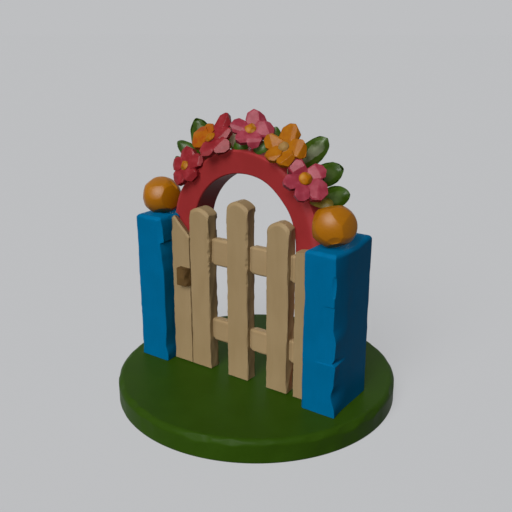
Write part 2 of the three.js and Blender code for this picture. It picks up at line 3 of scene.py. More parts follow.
import bmesh
import bpy
import numpy as np
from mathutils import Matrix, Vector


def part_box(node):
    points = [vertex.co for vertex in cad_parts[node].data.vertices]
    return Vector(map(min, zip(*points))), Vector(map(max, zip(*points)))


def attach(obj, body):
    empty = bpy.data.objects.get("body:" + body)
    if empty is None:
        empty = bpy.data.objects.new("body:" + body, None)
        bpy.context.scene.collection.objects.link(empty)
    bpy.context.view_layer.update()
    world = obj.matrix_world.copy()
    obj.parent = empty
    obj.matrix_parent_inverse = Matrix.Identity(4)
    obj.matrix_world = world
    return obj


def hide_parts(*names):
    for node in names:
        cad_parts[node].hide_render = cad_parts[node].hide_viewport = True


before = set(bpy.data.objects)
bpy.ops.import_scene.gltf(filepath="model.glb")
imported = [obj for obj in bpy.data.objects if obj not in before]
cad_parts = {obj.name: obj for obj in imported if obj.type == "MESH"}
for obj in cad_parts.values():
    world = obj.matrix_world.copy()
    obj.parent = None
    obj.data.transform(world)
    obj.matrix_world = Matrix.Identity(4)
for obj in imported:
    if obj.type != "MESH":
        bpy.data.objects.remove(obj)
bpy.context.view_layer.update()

# The photograph's view: from the right front and a little above, with the whole ornament in the
# frame. Lengths in this script are millimetres; Blender's own are metres.
MM = 0.001
VIEW_TURN = 35.33  # degrees round from straight in front, towards the right post
VIEW_DROP = 17.956  # degrees that the camera looks down
CAMERA_PLACE = np.array([199.8, -282.3, 187.65])
LENS = 48.686  # focal length for a picture SENSOR wide
SENSOR = 36


def put(name, data):
    """A new object in the scene that shows this data."""
    thing = bpy.data.objects.new(name, data)
    bpy.context.scene.collection.objects.link(thing)
    return thing


camera = put("camera", bpy.data.cameras.new("camera"))
camera.data.lens = LENS
camera.data.sensor_width = SENSOR
camera.data.clip_start = 10 * MM
camera.location = CAMERA_PLACE * MM
camera.rotation_euler = (math.radians(90 - VIEW_DROP), 0, math.radians(VIEW_TURN))
bpy.context.scene.camera = camera


# The base: a turned wooden disc with a rounded rim, painted grass green. Its rim has been pared
# with a knife all the way round, and catches the light on two of the cuts.
UP = np.array([0, 0, 1.0])


def unit(vector):
    """The vector at length 1."""
    vector = np.asarray(vector, float)
    return vector / np.linalg.norm(vector)


def span(node):
    """The lowest and the highest corner of a CAD node, in millimetres."""
    low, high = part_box(node)
    return np.array(low) / MM, np.array(high) / MM


class Carving:
    """The points of a piece while it is carved, and how much the knife has taken off each.

    On a leaf this is replaced by where its paint is rubbed paler and its sheen is painted.
    """

    def __init__(self, points):
        self.points = points
        self.cut_depth_and_sheen = np.zeros(points.shape[:-1])

    def press(self, blade, height, normal, where):
        """Points higher than the blade along normal go down to it: p - max(height - blade, 0) n."""
        taken = np.where(where, np.maximum(height - blade, 0), 0)
        self.points = self.points - taken[..., None] * normal
        self.cut_depth_and_sheen = self.cut_depth_and_sheen + taken

    def cut(self, middle, normal, along, reach, depth, width=math.inf, stop=math.inf):
        """A hollow knife cut, deepest at its middle, that runs out after reach to either side.

        With run, side and height measured from the middle along the cut, across it and out of the
        wood, the blade lies at depth * ((run / reach)^2 + (side / width)^2 - 1). A cut that meets
        a stop ends there in a step.
        """
        normal = unit(normal)
        along = unit(along - np.dot(along, normal) * normal)
        offset = self.points - middle
        run, side = offset @ along, offset @ np.cross(normal, along)
        blade = depth * ((run / reach) ** 2 + (side / width) ** 2 - 1)
        near = (np.abs(run) < reach) & (np.abs(side) < width) & (run < stop)
        self.press(blade, offset @ normal, normal, near)

    def flat(self, middle, normal, depth, bow=0):
        """A flat knife cut square to normal, or one bowed outwards by bow * distance^2."""
        normal = unit(normal)
        offset = self.points - middle
        height = offset @ normal
        away = np.sum(offset**2, axis=-1) - height**2
        self.press(-depth - bow * away, height, normal, True)

    def pare(self, start, end, normal, draw, spacing, depth, slant=0.35):
        """Overlapping knife cuts along an arris from start to end, each with its own length,
        depth and slant: a cut every spacing, 0.5 to 1.1 spacings long to either side."""
        start, end = np.array(start, float), np.array(end, float)
        along = unit(end - start)
        across = np.cross(unit(normal), along)
        for place in np.arange(0.5, np.linalg.norm(end - start) / spacing) * spacing:
            middle = start + along * (place + draw.uniform(-0.3, 0.3) * spacing)
            lean = unit(normal) + draw.uniform(-slant, slant) * across
            reach = spacing * draw.uniform(0.5, 1.1)
            self.cut(middle, lean, along, reach, depth * draw.uniform(0.35, 1))


def closed_mesh(carvings, smooth_up_to=32):
    """A mesh of one or more closed skins, each a grid of points in a Carving.

    Rows of a grid run along the piece and columns run round it. A face joins the points
    (row, column), (row, column + 1), (row + 1, column + 1) and (row + 1, column), the last column
    joins the first, and each end row closes on a point at its middle. Points that coincide are
    merged, and a skin with a negative volume is turned round. Edges sharper than smooth_up_to
    degrees stay crisp. The point attribute cut_depth_and_sheen holds what the knife took off, in
    millimetres, and on a leaf where its paint is rubbed paler and its sheen is painted.
    """
    whole = bmesh.new()
    for carving in carvings:
        grid = carving.points
        rows, columns, _ = grid.shape
        number = np.arange(rows * columns).reshape(rows, columns)
        beside = np.roll(number, -1, axis=1)
        walls = np.stack([number[:-1], beside[:-1], beside[1:], number[1:]], axis=-1)
        poles = [grid[0].mean(0), grid[-1].mean(0)]
        first, last = np.full(columns, rows * columns), np.full(columns, rows * columns + 1)
        ends = [
            np.stack([first, beside[0], number[0]], axis=-1),
            np.stack([last, number[-1], beside[-1]], axis=-1),
        ]
        points = np.concatenate([grid.reshape(-1, 3), poles]) * MM
        cut_depth_and_sheen = np.concatenate([carving.cut_depth_and_sheen.ravel(), carving.cut_depth_and_sheen[[0, -1]].mean(1)])
        skin = bpy.data.meshes.new("skin")
        skin.from_pydata(points, [], walls.reshape(-1, 4).tolist() + np.concatenate(ends).tolist())
        layer = skin.attributes.new("cut_depth_and_sheen", "FLOAT", "POINT")
        layer.data.foreach_set("value", cut_depth_and_sheen.astype(np.float32))
        one = bmesh.new()
        one.from_mesh(skin)
        bmesh.ops.remove_doubles(one, verts=one.verts, dist=0.004 * MM)
        bmesh.ops.dissolve_degenerate(one, edges=one.edges, dist=0.002 * MM)
        if one.calc_volume(signed=True) < 0:
            bmesh.ops.reverse_faces(one, faces=one.faces)
        one.to_mesh(skin)
        one.free()
        whole.from_mesh(skin)
        bpy.data.meshes.remove(skin)
    mesh = bpy.data.meshes.new("shape")
    whole.to_mesh(mesh)
    whole.free()
    mesh.shade_smooth()
    mesh.set_sharp_from_angle(angle=math.radians(smooth_up_to))
    return mesh


def add_piece(name, mesh, body, finish, nodes):
    """Puts a mesh in the scene as a piece that rides on a body and stands for CAD nodes."""
    mesh.name = name
    mesh.materials.append(finish)
    piece = put(name, mesh)
    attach(piece, body)
    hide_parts(*nodes)


def srgb(red, green, blue):
    """A screen colour from 0 to 255 as the linear colour of a surface."""
    shares = np.array([red, green, blue]) / 255
    linear = np.where(shares <= 0.04045, shares / 12.92, ((shares + 0.055) / 1.055) ** 2.4)
    return (*linear, 1)


class Number:
    """A number that changes over a surface. Sums and products with it add Math nodes."""

    def __init__(self, finish, socket):
        self.finish = finish
        self.socket = socket

    def joined(self, operation, *terms):
        settings = {"operation": operation}
        node = self.finish.node("Math", settings, dict(enumerate(terms)))
        return Number(self.finish, node.outputs[0])

    def __add__(self, other):
        return self.joined("ADD", self, other)

    def __sub__(self, other):
        return self.joined("SUBTRACT", self, other)

    def __rsub__(self, other):
        return self.joined("SUBTRACT", other, self)

    def __mul__(self, other):
        return self.joined("MULTIPLY", self, other)

    __radd__ = __add__
    __rmul__ = __mul__


class Finish:
    """A material under way. Patterns are laid out in the object's own millimetres.

    Seen straight on it mirrors a share 0.08 * gloss of the light.
    """

    def __init__(self, name, roughness, gloss=0.1):
        self.material = bpy.data.materials.new(name)
        self.material.use_nodes = True
        self.tree = self.material.node_tree
        self.shader = self.tree.nodes["Principled BSDF"]
        self.roughness(roughness)
        mirrored = math.sqrt(0.08 * gloss)
        self.shader.inputs["IOR"].default_value = (1 + mirrored) / (1 - mirrored)
        self.place = self.node("TexCoord").outputs["Object"]

    def node(self, kind, settings=None, inputs=None):
        """Adds a shader node: first its settings, then its sockets' values or links."""
        node = self.tree.nodes.new("ShaderNode" + kind)
        for setting, value in (settings or {}).items():
            setattr(node, setting, value)
        for socket, value in (inputs or {}).items():
            self.feed(node.inputs[socket], value)
        return node

    def feed(self, socket, value):
        """Links a Number or a socket, or sets a plain value."""
        if isinstance(value, Number):
            value = value.socket
        if isinstance(value, bpy.types.NodeSocket):
            self.tree.links.new(value, socket)
        else:
            socket.default_value = value

    def noise(self, size, stretch=(1, 1, 1), detail=2.0, seed=0.0):
        """Soft noise from 0 to 1 with patches of a size in millimetres, longer along an axis by
        its stretch."""
        scale = [1 / (MM * size * longer) for longer in stretch]
        inputs = {"Vector": self.place, "Location": (seed, seed, seed), "Scale": scale}
        mapped = self.node("Mapping", None, inputs)
        inputs = {"Vector": mapped.outputs[0], "Scale": 1.0, "Detail": detail}
        texture = self.node("TexNoise", None, inputs)
        return Number(self, texture.outputs["Fac"])

    def step(self, number, low, high):
        """A smooth climb from 0 to 1 as the number goes from low to high."""
        inputs = {"Value": number, "From Min": low, "From Max": high}
        node = self.node("MapRange", {"interpolation_type": "SMOOTHSTEP"}, inputs)
        return Number(self, node.outputs["Result"])

    def mark(self, name):
        """A number kept at the mesh's points."""
        node = self.node("Attribute", {"attribute_name": name})
        return Number(self, node.outputs["Fac"])

    def blend(self, share, low, high):
        """From the colour low to high as share goes from 0 to 1: each a link or a screen colour."""
        node = self.node("Mix", {"data_type": "RGBA"}, {"Factor": share})
        for socket, value in ((6, low), (7, high)):
            self.feed(node.inputs[socket], srgb(*value) if isinstance(value, tuple) else value)
        return node.outputs[2]

    def colour(self, value):
        self.feed(self.shader.inputs["Base Color"], value)

    def roughness(self, value):
        self.feed(self.shader.inputs["Roughness"], value)

    def relief(self, height, millimetres):
        """Bumps the surface by height times a depth in millimetres."""
        inputs = {"Height": height, "Distance": millimetres * MM, "Strength": 1.0}
        bump = self.node("Bump", None, inputs)
        self.feed(self.shader.inputs["Normal"], bump.outputs["Normal"])


def paint(name, main, deep, pale, roughness=0.42, gloss=0.1, streak=(1, 1, 6), pale_at_cuts=0.6, seed=0.0):
    """Satin paint brushed on wood: cloudy patches, brush streaks, and paler where it was cut.

    On the arch and the yellow buttons the pale at the cuts also stands in for a painted highlight.
    """
    finish = Finish(name, roughness, gloss)
    clouds = finish.noise(14, detail=3, seed=seed)
    streaks = finish.noise(0.9, streak, detail=2, seed=seed + 3)
    fine = finish.noise(0.35, detail=1, seed=seed + 7)
    body = finish.blend(finish.step(clouds * 0.7 + streaks * 0.3, 0.35, 0.68), deep, main)
    # Paler where the knife cut: rubbed paint, and on the arch and the yellow buttons partly a
    # painted highlight.
    cut = finish.step(finish.mark("cut_depth_and_sheen") + (clouds - 0.5) * 0.5, 0.12, 0.8) * pale_at_cuts
    finish.colour(finish.blend(cut, body, pale))
    finish.roughness(clouds * 0.12 + streaks * 0.08 + (roughness - 0.1))
    finish.relief(streaks * 0.4 + fine * 0.25 + clouds * 0.8, millimetres=0.05)
    return finish.material


base_radius, _, base_top = span("base_disc")[1]
RIM_ROUND = 3.0
FOOT_ROUND = 1.0
RIM_CUT_EVERY = 13  # degrees between the cuts round the top edge
SIDE_CUT_EVERY = 17  # degrees between the flatter cuts round the side
BRIGHT_CUTS = ((-73.4, 1.75), (-63.7, 1.6))  # where they are, in degrees, and how deep
BRIGHT_CUT_LEAN = 33  # degrees that they face up


def heading(turn):
    """The cosine and the sine of an angle in degrees."""
    return math.cos(math.radians(turn)), math.sin(math.radians(turn))


def turned(profile, columns):
    """A profile of (radius, height) points carried round the upright axis."""
    angle = np.linspace(0, 2 * math.pi, columns, endpoint=False)
    radius, height = np.array(profile)[:, :1], np.array(profile)[:, 1:]
    upright = np.broadcast_to(height, (len(profile), columns))
    return np.stack([radius * np.cos(angle), radius * np.sin(angle), upright], axis=-1)


def arc(middle, radius, start, end, steps):
    """Points of an arc round a middle, between two angles in degrees."""
    angle = np.radians(np.linspace(start, end, steps))
    across = middle[0] + radius * np.cos(angle)
    up = middle[1] + radius * np.sin(angle)
    return np.stack([across, up], axis=-1)


rim_middle = (base_radius - RIM_ROUND, base_top - RIM_ROUND)
base_profile = np.concatenate([
    [[r, 0.0] for r in np.linspace(4, base_radius - FOOT_ROUND - 1, 8)],
    arc((base_radius - FOOT_ROUND, FOOT_ROUND), FOOT_ROUND, -90, 0, steps=5),
    [[base_radius, z] for z in np.linspace(FOOT_ROUND + 0.7, base_top - RIM_ROUND - 0.5, 11)],
    arc(rim_middle, RIM_ROUND, 0, 90, steps=13),
    [[r, base_top] for r in np.linspace(base_radius - RIM_ROUND - 0.8, 4, 36)],
])


def round_base(turn):
    """The direction outwards at an angle round the base, and the one along its rim there."""
    cosine, sine = heading(turn)
    return np.array([cosine, sine, 0]), np.array([-sine, cosine, 0])


base = Carving(turned(base_profile, columns=600))
draw = np.random.default_rng(11)
for turn in np.arange(0, 360, RIM_CUT_EVERY):
    out, along = round_base(turn + draw.uniform(-4, 4))
    along = along + draw.uniform(-0.06, 0.06) * UP
    level, rise = heading(draw.uniform(25, 60))
    corner = out * (base_radius - 0.1) + base_top * UP
    reach, depth = draw.uniform(9, 16), draw.uniform(1.2, 1.75)
    base.cut(corner, out * level + rise * UP, along, reach, depth)
for turn in np.arange(3, 360, SIDE_CUT_EVERY):
    out, along = round_base(turn + draw.uniform(-6, 6))
    middle = out * base_radius + draw.uniform(2, 8) * UP
    base.cut(middle, out, along, draw.uniform(8, 14), depth=0.22, width=6)
level, rise = heading(BRIGHT_CUT_LEAN)
for turn, depth in BRIGHT_CUTS:
    out, along = round_base(turn)
    corner = out * base_radius + base_top * UP
    base.cut(corner, out * level + rise * UP, along + 0.04 * UP, reach=6.5, depth=depth)

base_paint = paint(
    "grass_green_paint", (42, 68, 9), (39, 64, 6), (48, 74, 16),
    roughness=0.45, gloss=0.05, streak=(6, 1, 1), pale_at_cuts=0.3,
)
mesh = closed_mesh([base])
add_piece("base_disc_turned", mesh, "frame", base_paint, ["base_disc"])


# The two posts: square wooden posts painted blue. Each arris has been cut with long strokes of a
# knife, and the right post has a step across its front where the strokes stop.


def rounded_rectangle(along_side, along_corner):
    """The points round a rectangle with round corners, without its size.

    Returns u, v, the place on the plain rectangle from -1 to 1, and x, y, the outward direction.
    With half sizes a, b and a corner radius r a point is (u (a - r) + r x, v (b - r) + r y).
    """
    side = np.sin(np.linspace(-1, 1, along_side + 2)[1:-1] * math.pi / 2)
    turn = np.linspace(0, math.pi / 2, along_corner)
    one, corner = np.ones(along_side), np.ones(along_corner)
    quarter = [
        np.concatenate([one, corner]), np.concatenate([side, corner]),
        np.concatenate([one, np.cos(turn)]), np.concatenate([0 * one, np.sin(turn)]),
    ]
    u, v, x, y = quarter
    return (
        np.concatenate([u, -v, -u, v]), np.concatenate([v, u, -v, -u]),
        np.concatenate([x, -y, -x, y]), np.concatenate([y, x, -y, -x]),
    )


def squared_block(low, high, corner, foot, top, axis=2, spacing=0.8, dome=0.0):
    """A block with round arrises as a grid that runs along one axis from its low to its high end.

    The section is a rounded rectangle. Near an end whose arris radius is r it shrinks by
    r - sqrt(r^2 - (r - distance)^2), and across the end face it shrinks on to the middle.
    """
    low, high = np.array(low, float), np.array(high, float)
    half, middle = (high - low) / 2, (high + low) / 2
    first, second = [a for a in range(3) if a != axis]
    length = high[axis] - low[axis]
    smaller = min(half[first], half[second])
    foot_turn, top_turn = np.radians(np.linspace(0, 90, 6)), np.radians(np.linspace(0, 90, 9))
    face = np.linspace(0.04, 1, 12)[:-1]
    shaft = np.linspace(foot, length - top, max(int((length - foot - top) / spacing), 3))[1:-1]
    along = np.concatenate([
        0 * face, foot * (1 - np.cos(foot_turn)), shaft,
        length - top * (1 - np.sin(top_turn)), length + dome * (1 - face[::-1]),
    ])
    inset = np.concatenate([
        foot + (smaller - foot) * (1 - face), foot * (1 - np.sin(foot_turn)), 0 * shaft,
        top * (1 - np.cos(top_turn)), top + (smaller - top) * (1 - face[::-1]),
    ])[:, None]
    u, v, x, y = rounded_rectangle(max(int(2 * half.max() / 1.1), 8), 6)
    round_ = np.minimum(corner, smaller - inset * 0.98)
    grid = np.zeros((len(along), len(u), 3))
    grid[..., first] = middle[first] + u * (half[first] - inset - round_) + round_ * x
    grid[..., second] = middle[second] + v * (half[second] - inset - round_) + round_ * y
    grid[..., axis] = (low[axis] + along)[:, None]
    return Carving(grid)


def without(mesh, holes):
    """The mesh with holes cut out of it: each hole is a closed mesh."""
    body = put("body", mesh)
    cutters = [put("cutter", hole) for hole in holes]
    for cutter in cutters:
        modifier = body.modifiers.new("hole", "BOOLEAN")
        modifier.operation = "DIFFERENCE"
        modifier.solver = "EXACT"
        modifier.object = cutter
    bpy.context.view_layer.update()
    seen = body.evaluated_get(bpy.context.evaluated_depsgraph_get())
    cut = bpy.data.meshes.new_from_object(seen)
    for spare in [body, *cutters]:
        old = spare.data
        bpy.data.objects.remove(spare)
        bpy.data.meshes.remove(old)
    return cut


def box_hole(low, high):
    """A plain block for cutting a recess."""
    return closed_mesh([squared_block(low, high, corner=0.05, foot=0.05, top=0.05, spacing=8)])


def round_hole(start, end, radius):
    """A round bar along x from start to end, for cutting a bore."""
    turn = np.linspace(0, 2 * math.pi, 40, endpoint=False)
    ring = np.stack([0 * turn, radius * np.cos(turn), radius * np.sin(turn)], axis=-1)
    run = np.linspace(0, 1, 5)[:, None, None] * (np.array(end) - start)
    return closed_mesh([Carving(np.array(start) + run + ring)])


post_paint = paint(
    "blue_paint", (0, 94, 137), (0, 90, 131), (4, 98, 142),
    roughness=0.45, gloss=0.02, streak=(1, 1, 14), pale_at_cuts=0.25, seed=5,
)
HINGES = ("upper", "lower")
RUN_GAP = 0.3  # round whatever slides or swings
BOLT_RADIUS = 1.6
BOLT_TRAVEL = 4.5
bolt_low, bolt_high = span("latch_bolt")
bolt_at = np.array([bolt_low[0], bolt_high[1] - BOLT_RADIUS, (bolt_low[2] + bolt_high[2]) / 2])
ARRISES = ((1, -1), (1, 1), (-1, 1), (-1, -1))  # the uprights, from the right front round
ARRIS_FADE = 14.0  # how far back a post's right side follows its front upright


def corner_of(low, high, arris):
    """The place in plan of one of a block's uprights."""
    return np.where(np.array(arris) > 0, high[:2], low[:2])


def eased(place, knots, values):
    """Values at knots joined by smooth steps 3 t^2 - 2 t^3, level at each knot."""
    share = np.interp(place, knots, np.arange(len(knots)))
    low = np.minimum(np.floor(share).astype(int), len(knots) - 2)
    t = share - low
    values = np.array(values)
    return values[low] + (values[low + 1] - values[low]) * t**2 * (3 - 2 * t)


def post(low, high, seed, heights, shifts):
    """A post's block with knife strokes along its top arrises and its uprights.

    The upright at the right front is drawn in or out by shifts at heights, which fades over the
    right side as (1 - distance back / ARRIS_FADE)^2.
    """
    block = squared_block(low, high, corner=0.55, foot=0.3, top=2.0, spacing=0.4, dome=0.25)
    draw = np.random.default_rng(seed)
    middle = (low + high) / 2
    x, y, z = np.moveaxis(block.points, -1, 0)
    fade = np.clip(1 - (y - low[1]) / ARRIS_FADE, 0, 1) ** 2
    side = np.clip((x - middle[0]) / (high[0] - middle[0]), 0, 1) ** 3
    block.points[..., 0] += eased(z, heights, shifts) * fade * side
    for arris in ARRISES[1:]:
        corner = corner_of(low, high, arris)
        foot, head = np.array([*corner, low[2] + 1]), np.array([*corner, high[2] - 2])
        block.pare(foot, head, (*arris, 0), draw, spacing=15, depth=0.75, slant=0.4)
        block.pare(foot, head, (*arris, 0), draw, spacing=6, depth=0.5, slant=0.5)
    for arris in ARRISES:
        corner, opposite = corner_of(low, high, arris), corner_of(high, low, arris)
        for other in ([opposite[0], corner[1]], [corner[0], opposite[1]]):
            start = np.array([*corner, high[2]])
            end = np.array([*other, high[2]])
            facing = unit([*(0.5 * (start + end)[:2] - middle[:2]), 0]) + UP
            block.pare(start, end, facing, draw, spacing=7, depth=1.3, slant=0.2)
    for facing, width in (((0, -1, 0), 8), ((0, 1, 0), 8), ((1, 0, 0), 14), ((-1, 0, 0), 14)):
        facing = np.array(facing, float)
        for height in np.arange(low[2] + 8, high[2] - 6, 11):
            spot = middle + facing * np.abs(facing @ (high - low)) / 2
            spot = spot + np.cross(facing, UP) * draw.uniform(-0.5, 0.5) * width
            spot[2] = height + draw.uniform(-4, 4)
            reach, depth = draw.uniform(9, 16), draw.uniform(0.04, 0.14)
            block.cut(spot, facing, UP, reach, depth, draw.uniform(5, width))
    return block


def lift_top(block, height, lift):
    """Lifts a post's top by lift, which fades from 40 mm above the post's middle down to 26."""
    block.points[..., 2] += lift * eased(height, [-60, 26, 40, 60], [0, 0, 1, 1])


right_low, right_high = span("right_post")
LEDGE = 39.2  # height of the step across the right post's front
RIGHT_BACK_LIFT = 2.2  # how much higher the right post's top is at its back
right = post(
    right_low, right_high + [0.5, 0, 0], seed=21,
    heights=[12, 14, 23, 29, LEDGE - 0.4, LEDGE + 0.4, 42.4, 50, 57, 70.6, 82, 100],
    shifts=[1.0, 0.9, -1.3, -0.1, 0.5, -1.8, -0.6, -0.1, -1.8, -1.1, -0.9, -1.5],
)
above_ledge = np.array([right_high[0] - 7, right_low[1], LEDGE + 9])
right.cut(above_ledge, (0.1, -1, 0), -UP, reach=20, depth=0.55, width=13, stop=9)
nick = np.array([right_high[0] - 1.5, right_low[1], 78])
right.cut(nick, (0.7, -1, 0), UP, reach=5, depth=0.5, width=2.2)
x, y, z = np.moveaxis(right.points - (right_low + right_high) / 2, -1, 0)
lift_top(right, z, eased(y, [-20, 0, 17, 20], [0, 0, RIGHT_BACK_LIFT, RIGHT_BACK_LIFT]))
recesses = []
for hinge in HINGES:
    leaf_low, leaf_high = span(hinge + "_hinge_post_leaf")
    pin_top = span(hinge + "_hinge_pin")[1][2]
    low = np.array([right_low[0] - 1.5, leaf_low[1] - RUN_GAP, leaf_low[2] - RUN_GAP])
    high = np.array([leaf_high[0] + 0.02, leaf_high[1] + RUN_GAP, pin_top + RUN_GAP])
    recesses.append(box_hole(low, high))
mesh = without(closed_mesh([right]), recesses)
add_piece("right_post_carved", mesh, "frame", post_paint, ["right_post"])

left_low, left_high = span("left_post")
LEFT_RIM_LIFT = 1.1  # how much higher the left post's top is round the ball than under it
left = post(
    left_low - [1.3, 0, 0], left_high, seed=23,
    heights=[12, 15, 21, 32, 45, 55, 63, 72, 80.2, 81.2, 87, 93.2],
    shifts=[0.7, 0.8, -0.6, 0.3, 0, 0.2, 0.1, -0.9, -1.9, 0.35, -0.3, -1.3],
)
nick = np.array([left_high[0] - 2.5, left_low[1], 88])
left.cut(nick, (0.3, -1, 0), UP, reach=8, depth=0.45, width=5)
x, y, z = np.moveaxis(left.points - (left_low + left_high) / 2, -1, 0)
lift_top(left, z, eased(np.hypot(x, y), [0, 4, 9, 20], [0, 0, LEFT_RIM_LIFT, LEFT_RIM_LIFT]))
bolt_hole = round_hole(
    [bolt_at[0] - BOLT_TRAVEL - RUN_GAP, *bolt_at[1:]], [left_high[0] + 1, *bolt_at[1:]],
    BOLT_RADIUS + RUN_GAP,
)
mesh = without(closed_mesh([left]), [bolt_hole])
add_piece("left_post_carved", mesh, "frame", post_paint, ["left_post"])


# The balls on the posts: wooden balls whittled round, with a few broad facets left by the knife,
# painted orange. Each sits on a flat cut underneath and is pegged to its post.
FAR_FACETS = 12
(cosine, sine), (level, rise) = heading(VIEW_TURN), heading(VIEW_DROP)
to_right = np.array([cosine, sine, 0])  # these three are the camera's directions
to_eye = np.array([sine * level, -cosine * level, rise])
to_top = np.cross(to_eye, to_right)


def seen_at(across, up):
    """The direction from a ball's middle to what the camera sees at these shares of its radius."""
    nearer = math.sqrt(max(1 - across**2 - up**2, 0))
    return unit(across * to_right + up * to_top + nearer * to_eye)


def ball(node, facets, slip, wider, shift):
    """A sphere over the node's box with its seat cut flat and with bowed facets.

    A facet is given by where its middle shows from the camera, as shares of the radius to the
    right and up, and by its depth and its bow in 1 / mm. The slip of the knife is one hollow cut:
    where it shows, its run to the right and up, and its reach, depth, width and stop. The ball is
    wider by a share in the camera's left to right direction, and shifted that way. FAR_FACETS
    more facets lie mostly on the side away from the camera.
    """
    low, high = span(node)
    radius = (high[0] - low[0]) / 2
    middle = np.array([(low[0] + high[0]) / 2, (low[1] + high[1]) / 2, high[2] - radius])
    drop = np.radians(np.linspace(179.5, 0.5, 120))[:, None]
    turn = np.linspace(0, 2 * math.pi, 200, endpoint=False)
    upright = np.broadcast_to(np.cos(drop), (120, 200))
    ring = np.sin(drop)
    grid = np.stack([ring * np.cos(turn), ring * np.sin(turn), upright], axis=-1)
    carving = Carving(middle + radius * grid)
    for across, up, depth, bow in facets:
        towards = seen_at(across, up)
        carving.flat(middle + radius * towards, towards, depth, bow)
    (across, up), run, reach, depth, width, stop = slip
    towards = seen_at(across, up)
    skin = middle + ((carving.points - middle) @ towards).max() * towards
    carving.cut(skin, towards, run[0] * to_right + run[1] * to_top, reach, depth, width, stop)
    draw = np.random.default_rng(round(radius * 10 + low[0]))
    for _ in range(FAR_FACETS):
        towards = unit(draw.normal(size=3) - to_eye * 1.2)
        carving.flat(middle + radius * towards, towards, draw.uniform(0.4, 1.0), bow=0.026)
    stretch = (carving.points - middle) @ to_right * wider + shift
    carving.points = carving.points + stretch[..., None] * to_right
    carving.points[..., 2] = np.maximum(carving.points[..., 2], low[2])
    return carving


ball_paint = paint(
    "orange_paint", (151, 94, 0), (143, 87, 0), (160, 101, 6),
    roughness=0.34, gloss=0.2, streak=(3, 3, 1), pale_at_cuts=0.1, seed=9,
)
BALLS = {
    "left_ball": dict(
        facets=[
            (0.68, -0.18, 1.2, 0.022), (-0.18, 0.76, 0.8, 0.024), (0.1, -0.97, 0.9, 0.012),
            (-0.95, -0.2, 0.5, 0.02), (-0.62, 0.74, 0.4, 0.02), (-0.2, 0.16, 0.45, 0.03),
        ],
        slip=((0.68, 0.5), (0.87, -0.49), 7, 0.8, 1.0, 7), wider=0.045, shift=-0.5,
    ),
    "right_ball": dict(
        facets=[
            (0.282, 0.314, 1.0, 0.026), (0.62, 0.02, 1.15, 0.02), (-0.212, -0.05, 1.06, 0.034),
            (-0.86, 0.45, 0.5, 0.02), (0.1, -0.96, 0.6, 0.014), (-0.2, 0.97, 0.9, 0.02),
        ],
        slip=((-0.06, -0.64), (0.19, -0.98), 4.5, 0.55, 6.5, 2.2), wider=0.06, shift=-0.78,
    ),
}
for node, plan in BALLS.items():
    mesh = closed_mesh([ball(node, **plan)], smooth_up_to=9)
    add_piece(node + "_whittled", mesh, "frame", ball_paint, [node])


# The arch: a wooden hoop on two legs, painted red. It stands behind the gate, between the posts,
# with its arrises eased.
arch_low, arch_high = span("arch")
ARCH_WIDTH = 10.5
arch_outer = arch_high[0]
arch_radius = arch_outer - ARCH_WIDTH / 2
arch_centre = arch_high[2] - arch_outer


def hoop(step):
    """The arch's middle line and its outward direction: up the left leg, over and down the right.

    A place at distance s along it is (-R, s) on the left leg, (-R cos a, R sin a) above the
    centre with a = (s - leg) / R, and (R, pi R + 2 leg - s) on the right leg.
    """
    leg = arch_centre - arch_low[2]
    total = 2 * leg + math.pi * arch_radius
    s = np.linspace(0, total, int(total / step))
    a = np.clip((s - leg) / arch_radius, 0, math.pi)
    fall = np.minimum(s - leg, 0) + np.minimum(total - leg - s, 0)
    out = np.stack([-np.cos(a), 0 * a, np.sin(a)], axis=-1)
    line = out * arch_radius + np.stack([0 * a, 0 * a, arch_centre + fall], axis=-1)
    return line, out


line, out = hoop(step=0.8)
u, v, x, y = rounded_rectangle(along_side=14, along_corner=7)
ARCH_ROUND = 0.6
CROWN_SWELL = 1.5  # how much further out its outer face bulges on the left of its crown
CROWN_SWELL_AT = 74  # degrees round the arch from its left spring
FOOT_FLARE = 3.3  # how far its left foot stands out over the post's top
FOOT_FLARE_AT = 8
RIGHT_WIDER = 2.5  # how much further in the right leg's inner face stands
lean = np.degrees(np.arctan2(line[:, 2] - arch_centre, -line[:, 0]))
lean = np.where(lean < -90, lean + 360, lean)
thicker = eased(lean, [-90, 105, 140, 175, 270], [0, 0, 1.5, RIGHT_WIDER, RIGHT_WIDER])
swell = CROWN_SWELL * np.exp(-(((lean - CROWN_SWELL_AT) / 30) ** 2))
flare = FOOT_FLARE * np.exp(-(((lean - FOOT_FLARE_AT) / 33) ** 2)) * (lean > FOOT_FLARE_AT)
swell = swell + flare
radial = u * (ARCH_WIDTH / 2 - ARCH_ROUND) + ARCH_ROUND * x
radial = radial + np.outer(swell, np.clip(u, 0, 1)) - np.outer(thicker, np.clip(-u, 0, 1))
half_depth = (arch_high[1] - arch_low[1]) / 2
deep = v * (half_depth - ARCH_ROUND) + ARCH_ROUND * y
arch_grid = line[:, None] + out[:, None] * radial[..., None]
arch_grid = arch_grid + np.array([0, 1, 0]) * (deep + (arch_high[1] + arch_low[1]) / 2)[:, None]
arch = Carving(arch_grid)
draw = np.random.default_rng(31)
knots = np.arange(0, len(line), 16)
ARCH_ARRISES = ((1, -1, 0.75), (-1, -1, 0.35), (1, 1, 0.7), (-1, 1, 0.5))
